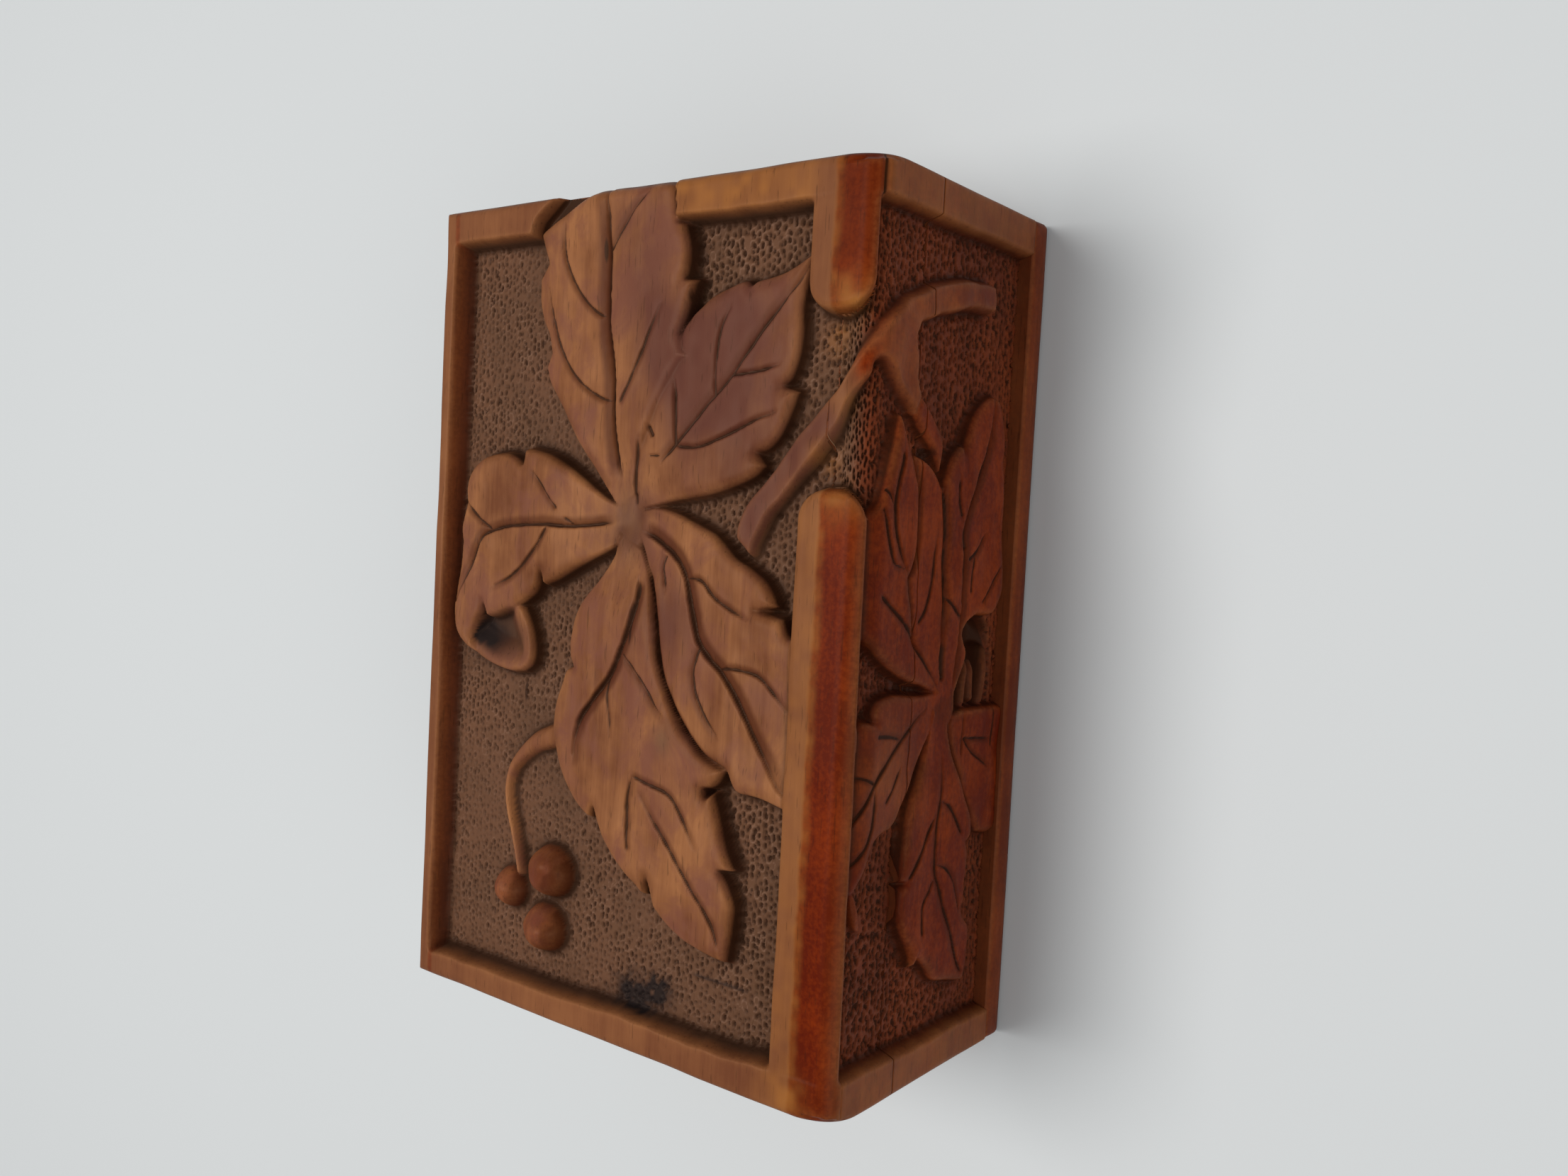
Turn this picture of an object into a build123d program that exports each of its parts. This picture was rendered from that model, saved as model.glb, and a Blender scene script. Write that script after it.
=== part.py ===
from build123d import *
from math import cos, radians, sin
import os

# A carved wooden box with a hinged lid, in millimetres. The origin is the middle of the underside,
# X runs along the length, the carved front faces -Y and +Z is up.

# Overall sizes
box_length = 120.0
box_depth = 81.0
box_height = 44.6

# Boards and how they meet
wall_thickness = 7.0
bottom_thickness = 4.5
panel_thickness = 7.6
front_lip = 2.4
rabbet_depth = 3.0
floor_rise = 1.0
floor_clearance = 0.1

# The saw cut that parts the lid from the base, measured from the top
lid_height = 14.3
seam_gap = 0.2

# Sunk ground and the frame left standing round it
top_sink = 3.5
front_sink = 2.3
end_sink = 2.0
left_rim = 4.9
right_rim = 5.2
back_rim = 2.9
front_rail = 10.5
left_stile = 4.7
right_stile = 4.9
end_stile = 5.5
rail_end_radius = 4.0
gap_from_right = 19.0
gap_width = 22.0
edge_round = 3.0
rail_round = 2.4
top_round = 1.0
corner_round = 1.4
foot_round = 1.2

# Relief: crest heights over the ground, groove size and round members
leaf_crest = 3.3
front_leaf_crest = 2.2
crown_radius = 160.0
vein_width = 1.3
vein_reach = 0.8
hub_height = 1.5
front_hub_height = 1.3
hub_radius = 3.2
hub_foot_radius = 4.5
hub_rise = 0.05
dish_reach = 10.0
curl_crest = 1.7
branch_radius = 2.2
stem_radius = 1.3
branch_bend = 3.5
member_sides = 8
berry_radius = 3.9
berry_bands = 4
leaf_overhang = 1.3

# Hinges
hinge_inset = 26.0
hinge_width = 16.0
leaf_depth = 5.5
leaf_thickness = 0.8
barrel_radius = 1.4
barrel_clearance = 0.3
pin_radius = 0.7
running_clearance = 0.05
seated_clearance = 0.01
knuckle_gap = 0.15
screw_spread = 9.0
screw_radius = 0.6
screw_head_radius = 1.2
screw_head_depth = 0.6
screw_length = 4.5
screw_sides = 8

# Derived places
half_length = box_length / 2
half_depth = box_depth / 2
seam_height = box_height - lid_height
seam_low = seam_height - seam_gap / 2
seam_high = seam_height + seam_gap / 2
panel_floor = box_height - panel_thickness
lip_floor = box_height - front_lip
top_ground = box_height - top_sink
front_ground = -half_depth + front_sink
front_inside = -half_depth + wall_thickness
back_inside = half_depth - wall_thickness
rabbet_front = front_inside - rabbet_depth
rabbet_back = back_inside + rabbet_depth
gap_right = half_length - gap_from_right
gap_left = gap_right - gap_width
axis_y = half_depth + barrel_radius + barrel_clearance
spare = 2.0
overlap = 0.2


def block(x_range, y_range, z_range):
    spans = (x_range, y_range, z_range)
    middle = [(low + high) / 2 for low, high in spans]
    return Pos(*middle) * Box(*[high - low for low, high in spans])


def at_top(x, y):
    return (x / 100 * box_length, y / 100 * box_depth)


def at_front(x, z):
    return (x / 100 * box_length, z / 100 * box_height)


top_plane = Plane((-half_length, -half_depth, top_ground), x_dir=(1, 0, 0), z_dir=(0, 0, 1))
front_plane = Plane((-half_length, front_ground, 0), x_dir=(1, 0, 0), z_dir=(0, -1, 0))

# The carving is drawn in percent of the face it lies on, from the face's left and lower edges.
# Each lobe: its tip, the points that its two edges bow through between the hub and the tip,
# and how high it stands at the hub and at the tip, as shares of the leaf's crest.
over_the_rim = (100 * (1 + leaf_overhang / box_length), 56.5)
top_hub = (61.5, 50.2)
top_lobes = (
    (over_the_rim, ((66.7, 57.5), (71.7, 63.3), (77.5, 69.9), (87.5, 73.1), (95.8, 73.1)),
     ((68.3, 47.4), (76.7, 42.2), (83, 39.5), (90, 38.5), (96.7, 41)), (0.82, 1.12)),
    ((90.5, 13.7), ((64.2, 39.5), (65.3, 30.2), (68.7, 21.5), (75, 16.3), (83.3, 15.2)),
     ((71.7, 45.9), (80.4, 40), (86.2, 34.6), (88.3, 24.1)), (0.8, 0.6)),
    ((13.6, 23.2), ((55, 55.1), (47.5, 61.5), (38.3, 64.7), (28.3, 59.8), (20.5, 45.9), (14.7, 32.1)),
     ((55, 44), (47.5, 41.5), (40.8, 37), (34.2, 27.2), (23.3, 23.2)), (1.0, 0.85)),
    ((32, 12.8), ((55, 44), (47.5, 41.5), (39.6, 35.3), (35, 27.2), (32.8, 20.4)),
     ((62.5, 38.3), (60.3, 29.6), (56.7, 21), (52, 14.8), (43.3, 12.1)), (0.86, 0.74)),
    ((45.3, 92.1), ((66.7, 62.2), (69.5, 73.3), (69, 82.1), (66.7, 90.4), (58.3, 92.6)),
     ((56.3, 59.8), (53.2, 69.1), (50.2, 77), (48, 85.7)), (0.93, 0.97)),
)
curl_root = (46.7, 89.6)
curl_lobe = ((43.7, 72.6), ((43.5, 87.7), (42, 80.2)), ((49, 84.6), (50, 78.4), (47.8, 73.8)), (1, 1))
front_hub = (42.9, 47.1)
front_lobes = (
    ((8.9, 25.1), ((36.7, 59.6), (31.2, 69.5), (24.2, 73.1), (17.5, 68.2), (12.5, 49.3)),
     ((35, 37.2), (28.3, 28.3), (21.7, 27.4), (13.3, 23.1)), (0.95, 0.8)),
    ((24.5, 92.8), ((35.8, 60.5), (30.8, 71.3), (28.3, 83.4)),
     ((44.4, 69.5), (44, 83), (40, 95.1), (32.5, 96)), (0.88, 0.85)),
    ((74.2, 85.2), ((45.5, 64.1), (47.5, 80.3), (52.5, 94.6), (64.2, 93.7)),
     ((50.4, 63.9), (58.3, 70), (66.7, 70.9)), (0.92, 0.75)),
    ((70.2, 69.5), ((47.5, 61.7), (53.3, 69.1), (61.7, 70.4)),
     ((50, 52), (60, 52), (67, 56.1)), (0.8, 0.72)),
    ((78, 26.9), ((50, 50.7), (61.7, 52), (70.3, 50.2), (75.5, 38.6)),
     ((46.7, 39), (52.2, 30), (55.8, 17.5), (65, 17.7), (73.3, 19.3)), (0.94, 0.75)),
)
branch_on_top = ((60, 24.7), (68.3, 16), (76.7, 6.2))
branch_on_front = ((85.8, 78.5), (89.6, 53.8), (90, 29.1))
berry_places = ((14.3, 76.9), (10.6, 67.3), (17.9, 66))
berry_stem = ((35, 64.2), (30.8, 74.1), (24.2, 79.6), (15.8, 74.1))
leaf_stem = ((42.5, 44.8), (41.3, 26.9), (40.4, 12.3))


def leaf_lobe(hub, lobe, crest, place):
    """A lobe: a spline outline raised from the ground, its top arched along the midrib and grooved."""
    tip, one_side, other_side, shares = lobe
    root, tip = Vector(*place(*hub)), Vector(*place(*tip))
    edges = [Spline(root, *[place(*point) for point in side], tip) for side in (one_side, other_side)]
    blade = extrude(make_face(edges), crest + top_sink, both=True)
    low, high = [Vector(0, 0, crest * share) for share in shares]
    run = (tip + high) - (root + low)
    along = Plane((root + low + tip + high) / 2, x_dir=(-run.Y, run.X, 0), z_dir=run)
    arch = along * Pos(0, -crown_radius, 0) * Cylinder(crown_radius, run.length * 2)
    vein = along * Rot(0, 0, 45) * Box(vein_width, vein_width, run.length * vein_reach)
    below = Pos(root.X, root.Y, -crest - spare) * Box(box_length * 2, box_length * 2, crest * 2)
    return (blade & arch) - below - vein


def leaf(hub, lobes, crest, middle, place):
    """The lobes of one leaf, dished round the hub, and the low boss where they run together."""
    rise = crest - middle
    widens = hub_radius + dish_reach * (rise + spare) / rise
    stands = (Align.CENTER, Align.CENTER, Align.MIN)
    centre = Pos(*place(*hub))
    dish = centre * Pos(0, 0, middle) * Cone(hub_radius, widens, rise + spare, align=stands)
    tall = middle + hub_rise + spare
    boss = centre * Pos(0, 0, -spare) * Cone(hub_foot_radius, hub_radius, tall, align=stands)
    return [leaf_lobe(hub, lobe, crest, place) - dish for lobe in lobes] + [boss]


def round_member(points, radius):
    """A branch or stem: a many-sided section swept along straight runs joined by arcs."""
    path = FilletPolyline(*points, radius=branch_bend)
    section = Plane(path @ 0, z_dir=path % 0) * RegularPolygon(radius, member_sides)
    return sweep(section, path)


def berry():
    """A berry standing half out of the ground: a dome turned from a few bands."""
    angles = [90 * band / berry_bands for band in range(berry_bands + 1)]
    dome = [(berry_radius * cos(radians(a)), berry_radius * sin(radians(a))) for a in angles]
    profile = Polyline((0, -spare), (berry_radius, -spare), *dome, close=True)
    return revolve(Plane.XZ * make_face(profile), Axis.Z)


def on_face(plane, place, points):
    return [plane.from_local_coords((*place(*point), 0)) for point in points]


def relief():
    """All that stands up from the sunk ground: both leaves, the branch over the edge, and the berries."""
    pieces = [top_plane * piece for piece in leaf(top_hub, top_lobes, leaf_crest, hub_height, at_top)]
    pieces.append(top_plane * leaf_lobe(curl_root, curl_lobe, curl_crest, at_top))
    front_leaf = leaf(front_hub, front_lobes, front_leaf_crest, front_hub_height, at_front)
    pieces += [front_plane * piece for piece in front_leaf]
    pieces += [top_plane * Pos(*at_top(*spot)) * berry() for spot in berry_places]
    branch = on_face(top_plane, at_top, branch_on_top) + on_face(front_plane, at_front, branch_on_front)
    pieces.append(round_member(branch, branch_radius))
    pieces.append(round_member(on_face(top_plane, at_top, berry_stem), stem_radius))
    pieces.append(round_member(on_face(front_plane, at_front, leaf_stem), stem_radius))
    return pieces


def top_pocket():
    """The sunk ground of the top, inside its rims and behind the front rail."""
    x_range = (-half_length + left_rim, half_length - right_rim)
    y_range = (-half_depth + front_rail, half_depth - back_rim)
    return block(x_range, y_range, (top_ground, box_height + spare))


def rail_gap():
    """The break in the front rail: the ground rounds over the edge between two bullnosed rail ends."""
    outside = -half_depth - spare
    inside = -half_depth + front_rail + overlap
    above = box_height + spare
    arc_start = (front_ground + edge_round, top_ground)
    arc_end = (front_ground, top_ground - edge_round)
    corners = ((outside, arc_end[1]), (outside, above), (inside, above), (inside, top_ground))
    outline = Polyline(arc_end, *corners, arc_start)
    turn = RadiusArc(arc_start, arc_end, edge_round)
    middle = (gap_left + gap_right) / 2
    section = Plane((middle, 0, 0), x_dir=(0, 1, 0), z_dir=(1, 0, 0)) * make_face([*outline.edges(), turn])
    opening = extrude(section, gap_width / 2 + rail_end_radius, both=True)
    for centre in (gap_left - rail_end_radius, gap_right + rail_end_radius):
        near = -half_depth + rail_end_radius
        far = -half_depth + front_rail - rail_end_radius
        for y in (near, far):
            opening -= Pos(centre, y, box_height / 2) * Cylinder(rail_end_radius, box_height * 2)
        opening -= block((centre - rail_end_radius, centre + rail_end_radius), (near, far), (0, above))
    return opening


def carved_block():
    """The whole box as if it were one carved block, before the saw cut and apart from its hollow."""
    body = block((-half_length, half_length), (-half_depth, half_depth), (0, box_height))
    body = fillet(body.edges().filter_by(Axis.Z), corner_round)
    body = fillet(body.edges().group_by(Axis.Z)[-1], top_round)
    body = fillet(body.edges().group_by(Axis.Z)[0], foot_round)
    rounding = block((-box_length, box_length), (-half_depth - spare, -half_depth + rail_round),
                     (box_height - rail_round, box_height + spare))
    rounding -= Pos(0, -half_depth + rail_round, box_height - rail_round) * Rot(0, 90, 0) \
        * Cylinder(rail_round, box_length * 3)
    body -= rounding
    body -= top_pocket()
    body -= rail_gap()
    front_x = (-half_length + left_stile, half_length - right_stile)
    body -= block(front_x, (-half_depth - spare, front_ground), (bottom_thickness, lip_floor))
    end_y = (-half_depth + end_stile, half_depth - end_stile)
    for side in (-1, 1):
        end_x = sorted((side * (half_length - end_sink), side * (half_length + spare)))
        body -= block(end_x, end_y, (bottom_thickness, panel_floor))
    for piece in relief():
        body += piece
    return body



def bottom_board():
    """The bottom: a full-size board with a raised field that fits inside the walls standing on it."""
    board = carved & block((-box_length, box_length), (-box_depth, box_depth), (0, bottom_thickness))
    field_x = half_length - wall_thickness - floor_clearance
    field_y = half_depth - wall_thickness - floor_clearance
    return board + block((-field_x, field_x), (-field_y, field_y), (0, bottom_thickness + floor_rise))


def end_rabbets(z_range):
    """What the front and back boards lose at both ends to take the end boards."""
    cuts = []
    for side in (-1, 1):
        x_range = sorted((side * (half_length - wall_thickness), side * (half_length + spare)))
        cuts.append(block(x_range, (rabbet_front, rabbet_back), z_range))
    return cuts


def long_board(y_range, z_range):
    """A full-length front or back board, rabbeted at its ends."""
    board = block((-half_length - spare, half_length + spare), y_range, z_range)
    for cut in end_rabbets(z_range):
        board -= cut
    return board


def end_board(side, z_range):
    """A short board that closes one end, let into the rabbets."""
    x_range = sorted((side * (half_length - wall_thickness), side * (half_length + spare)))
    return block(x_range, (rabbet_front, rabbet_back), z_range)


front_y = (-half_depth - spare, front_inside)
back_y = (back_inside, half_depth + spare)
base_z = (bottom_thickness, seam_low)
lid_z = (seam_high, panel_floor)


def panel_blank():
    """The top board: over all the walls but the front one, which only its lip covers beside the gap."""
    high = box_height * 2
    blank = block((-box_length, box_length), (front_inside, half_depth + spare), (panel_floor, high))
    for x_range in ((-box_length, gap_left), (gap_right, box_length)):
        blank += block(x_range, (-box_depth, front_inside), (lip_floor, high))
    return blank


def front_apron_blank():
    """The lid's front board: up to the panel's lip, and up to the carved ground in the gap."""
    blank = long_board(front_y, lid_z)
    blank += block((-box_length, box_length), front_y, (panel_floor, lip_floor))
    blank += block((gap_left, gap_right), front_y, (lip_floor, box_height * 2))
    return blank


hinge_centres = {"left": -half_length + hinge_inset, "right": half_length - hinge_inset}
leaf_front = half_depth - leaf_depth
screw_y = half_depth - leaf_depth / 2
knuckle = hinge_width / 3
base_side = {"face": seam_low, "into": -1, "knuckles": (-knuckle, knuckle), "bore": seated_clearance}
lid_side = {"face": seam_high, "into": 1, "knuckles": (0,), "bore": running_clearance}


def along_x(radius, length, x):
    return Pos(x, axis_y, seam_height) * Rot(0, 90, 0) * Cylinder(radius, length)


def leaf_plate(x, width, y_range, half):
    z_range = sorted((half["face"], half["face"] + half["into"] * leaf_thickness))
    return block((x - width / 2, x + width / 2), y_range, z_range)


def screw_places(x, half):
    return [Pos(x + shift, screw_y, half["face"]) for shift in (-screw_spread / 2, screw_spread / 2)]


def screw(half, grow=0.0):
    """A countersunk screw, head flush with the leaf, or with some room its hole."""
    neck = Plane((0, 0, screw_head_depth)) * RegularPolygon(screw_radius + grow, screw_sides)
    head = loft([RegularPolygon(screw_head_radius + grow, screw_sides), neck], ruled=True)
    whole = head + extrude(neck, screw_length - screw_head_depth + grow)
    return whole if half["into"] > 0 else Rot(180, 0, 0) * whole


def hinge_leaf(x, half):
    """One leaf of a butt hinge: a plate let into the board's edge, with its knuckles behind the back."""
    leaf = leaf_plate(x, hinge_width, (leaf_front, half_depth), half)
    width = knuckle - knuckle_gap
    for shift in half["knuckles"]:
        leaf += leaf_plate(x + shift, width, (half_depth - overlap, axis_y), half)
        leaf += along_x(barrel_radius, width, x + shift)
    leaf -= along_x(pin_radius + half["bore"], hinge_width * 2, x)
    for place in screw_places(x, half):
        leaf -= place * screw(half, seated_clearance)
    return leaf


def hinge_seat(board, half):
    """Cuts the mortises and screw holes of both hinges in a back board."""
    for x in hinge_centres.values():
        board -= leaf_plate(x, hinge_width, (leaf_front, half_depth + spare), half)
        for place in screw_places(x, half):
            board -= place * screw(half, seated_clearance)
    return board


def hinge_nodes(name, x):
    """The leaves, pin and screws of one hinge."""
    nodes = {}
    for owner, half in (("base", base_side), ("lid", lid_side)):
        nodes[f"{name}_hinge_{owner}_leaf"] = hinge_leaf(x, half)
        screws = [place * screw(half) for place in screw_places(x, half)]
        nodes[f"{name}_hinge_{owner}_screws"] = Compound(screws)
    nodes[f"{name}_hinge_pin"] = along_x(pin_radius, hinge_width, x)
    return nodes


carved = carved_block()
parts = {
    "base_bottom": bottom_board(),
    "base_front": carved & long_board(front_y, base_z),
    "base_back": hinge_seat(carved & long_board(back_y, base_z), base_side),
    "base_left": carved & end_board(-1, base_z),
    "base_right": carved & end_board(1, base_z),
    "lid_panel": carved & panel_blank(),
    "lid_front_apron": carved & front_apron_blank(),
    "lid_back_apron": hinge_seat(carved & long_board(back_y, lid_z), lid_side),
    "lid_left_apron": carved & end_board(-1, lid_z),
    "lid_right_apron": carved & end_board(1, lid_z),
}
for hinge_name, hinge_x in hinge_centres.items():
    parts.update(hinge_nodes(hinge_name, hinge_x))

os.makedirs("parts", exist_ok=True)
for node, shape in parts.items():
    export_step(shape, f"parts/{node}.step")
    print(node, len(shape.solids()), round(shape.volume, 2))
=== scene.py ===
import math
import bpy
import bmesh
import numpy as np
from mathutils import Matrix, Vector


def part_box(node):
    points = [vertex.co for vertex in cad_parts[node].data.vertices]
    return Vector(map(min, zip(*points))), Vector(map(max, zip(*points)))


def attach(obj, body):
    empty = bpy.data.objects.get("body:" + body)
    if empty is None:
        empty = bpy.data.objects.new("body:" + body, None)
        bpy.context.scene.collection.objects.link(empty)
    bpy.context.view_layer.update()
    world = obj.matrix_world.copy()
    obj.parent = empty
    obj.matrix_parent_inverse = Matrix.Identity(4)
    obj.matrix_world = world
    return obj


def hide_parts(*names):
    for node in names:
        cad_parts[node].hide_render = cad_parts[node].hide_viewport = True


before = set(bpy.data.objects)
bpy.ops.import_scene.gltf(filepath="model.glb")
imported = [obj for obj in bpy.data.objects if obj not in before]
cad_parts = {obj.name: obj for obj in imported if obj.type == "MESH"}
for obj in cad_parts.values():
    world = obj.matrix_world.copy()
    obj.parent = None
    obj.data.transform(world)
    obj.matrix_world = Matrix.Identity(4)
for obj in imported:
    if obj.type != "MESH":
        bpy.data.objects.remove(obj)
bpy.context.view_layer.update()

# Carved wooden box. Lengths are millimetres measured from the front left lower corner
# (x to the right, y to the back, z up) and become metres in the frame's place at the end.
mm = 0.001
bottomLow, bottomHigh = np.array(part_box("base_bottom")) / mm
frontLow, frontHigh = np.array(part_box("base_front")) / mm
box = {
    "length": bottomHigh[0] - bottomLow[0],
    "depth": bottomHigh[1] - bottomLow[1],
    "height": 44.6,
    "wall": frontHigh[1] - frontLow[1],
    "rabbet": 3.0,
    "bottom": frontLow[2],
    "seamLow": frontHigh[2],
    "seamHigh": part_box("lid_front_apron")[0][2] / mm,
    "panelFloor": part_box("lid_panel")[0][2] / mm,
    "lip": 2.4,
}
origin = bottomLow
boxLength, boxDepth, boxHeight = box["length"], box["depth"], box["height"]


# Small number tools
def ramp(value, low, high):
    t = np.clip((value - low) / (high - low), 0.0, 1.0)
    return t * t * (3.0 - 2.0 * t)


noiseCells = 256
# distance of places that lie far outside an outline
farOut = 4.0


def valueNoise(x, y, cell, seed):
    # smooth lattice noise in 0..1 over plane coordinates
    lattice = np.random.RandomState(seed).rand(noiseCells, noiseCells)
    gx, gy = x / cell, y / cell
    ix, iy = np.floor(gx).astype(int), np.floor(gy).astype(int)
    fx, fy = gx - ix, gy - iy
    fx, fy = fx * fx * (3 - 2 * fx), fy * fy * (3 - 2 * fy)
    a, b, c, d = [lattice[(ix + ox) % noiseCells, (iy + oy) % noiseCells] for oy in (0, 1) for ox in (0, 1)]
    return (a * (1 - fx) + b * fx) * (1 - fy) + (c * (1 - fx) + d * fx) * fy


def sway(x, y, cell, seed):
    # the same noise about zero
    return valueNoise(x, y, cell, seed) - 0.5


def smoothRun(points, per=7):
    # Catmull-Rom through the points, ends included
    pts = np.array(points, float)
    if len(pts) < 3:
        return pts
    padded = np.vstack([2 * pts[0] - pts[1], pts, 2 * pts[-1] - pts[-2]])
    out = []
    for i in range(1, len(padded) - 2):
        p0, p1, p2, p3 = padded[i - 1:i + 3]
        t = np.linspace(0, 1, per, endpoint=False)[:, None]
        out.append(0.5 * (2 * p1 + (p2 - p0) * t + (2 * p0 - 5 * p1 + 4 * p2 - p3) * t ** 2
                          + (3 * p1 - p0 - 3 * p2 + p3) * t ** 3))
    out.append(pts[-1:])
    return np.vstack(out)


def outline(*runs):
    # the runs meet at sharp corners: each goes on from the last point of the one before it
    starts = [()] + [run[-1:] for run in runs]
    return np.vstack([smoothRun(start + run) for start, run in zip(starts, runs)])


def nearLine(x, y, line, reach):
    low, high = line.min(0) - reach, line.max(0) + reach
    return (x > low[0]) & (x < high[0]) & (y > low[1]) & (y < high[1])


def segments(px, py, starts, ends):
    # for each piece of a line: its number, its ends, the share along it and the offset from its nearest point
    for i, (a, b) in enumerate(zip(starts, ends)):
        run = b - a
        size = run @ run
        if size < 1e-12:
            continue
        t = np.clip(((px - a[0]) * run[0] + (py - a[1]) * run[1]) / size, 0, 1)
        yield i, a, b, t, px - a[0] - t * run[0], py - a[1] - t * run[1]


def insideDistance(x, y, polygon, reach=farOut):
    # signed distance to a closed outline, positive inside, far points left at -reach
    out = np.full(x.shape, -reach)
    near = nearLine(x, y, polygon, reach)
    px, py = x[near], y[near]
    best, inside = np.full(px.shape, 1e9), np.zeros(px.shape, bool)
    for _, a, b, _, dx, dy in segments(px, py, polygon, np.roll(polygon, -1, 0)):
        best = np.minimum(best, dx ** 2 + dy ** 2)
        if a[1] != b[1]:
            crosses = (a[1] > py) != (b[1] > py)
            inside ^= crosses & (px < a[0] + (py - a[1]) / (b[1] - a[1]) * (b[0] - a[0]))
    out[near] = np.where(inside, 1, -1) * np.sqrt(best)
    return np.maximum(out, -reach)


def strokeField(x, y, points, reach=5.0):
    # distance to a smooth line, the side it lies on (left positive) and the share of its length
    line = smoothRun(points)
    lengths = np.r_[0, np.cumsum(np.hypot(*np.diff(line, axis=0).T))]
    dist, side, along = np.full(x.shape, reach), np.ones(x.shape), np.zeros(x.shape)
    near = nearLine(x, y, line, reach)
    px, py = x[near], y[near]
    best, bestSide, bestAlong = np.full(px.shape, 1e9), np.ones(px.shape), np.zeros(px.shape)
    for i, a, b, t, dx, dy in segments(px, py, line[:-1], line[1:]):
        d = dx * dx + dy * dy
        closer = d < best
        best = np.where(closer, d, best)
        bestSide = np.where(closer, np.sign((b[0] - a[0]) * dy - (b[1] - a[1]) * dx), bestSide)
        bestAlong = np.where(closer, (lengths[i] + t * (lengths[i + 1] - lengths[i])) / lengths[-1], bestAlong)
    dist[near], side[near], along[near] = np.sqrt(best), bestSide, bestAlong
    return np.minimum(dist, reach), side, along


def blurred(field, radius):
    # three box passes, close to a round blur
    out = field
    k = int(max(1, round(radius)))
    for axis in (0, 1):
        for _ in range(3):
            pad = [(0, 0), (0, 0)]
            pad[axis] = (k + 1, k)
            c = np.cumsum(np.pad(out, pad, mode="edge"), axis=axis)
            lead = np.take(c, range(2 * k + 1, c.shape[axis]), axis=axis)
            tail = np.take(c, range(0, c.shape[axis] - 2 * k - 1), axis=axis)
            out = (lead - tail) / (2 * k + 1)
    return out


def tented(field):
    # each value with its neighbours, weighted 1 2 1 both ways
    for axis in (0, 1):
        padded = np.pad(field, [(1, 1) if axis == k else (0, 0) for k in (0, 1)], mode="edge")
        size = field.shape[axis]
        low, mid, high = [np.take(padded, range(k, k + size), axis=axis) for k in (0, 1, 2)]
        field = (low + 2 * mid + high) / 4
    return field


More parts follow.
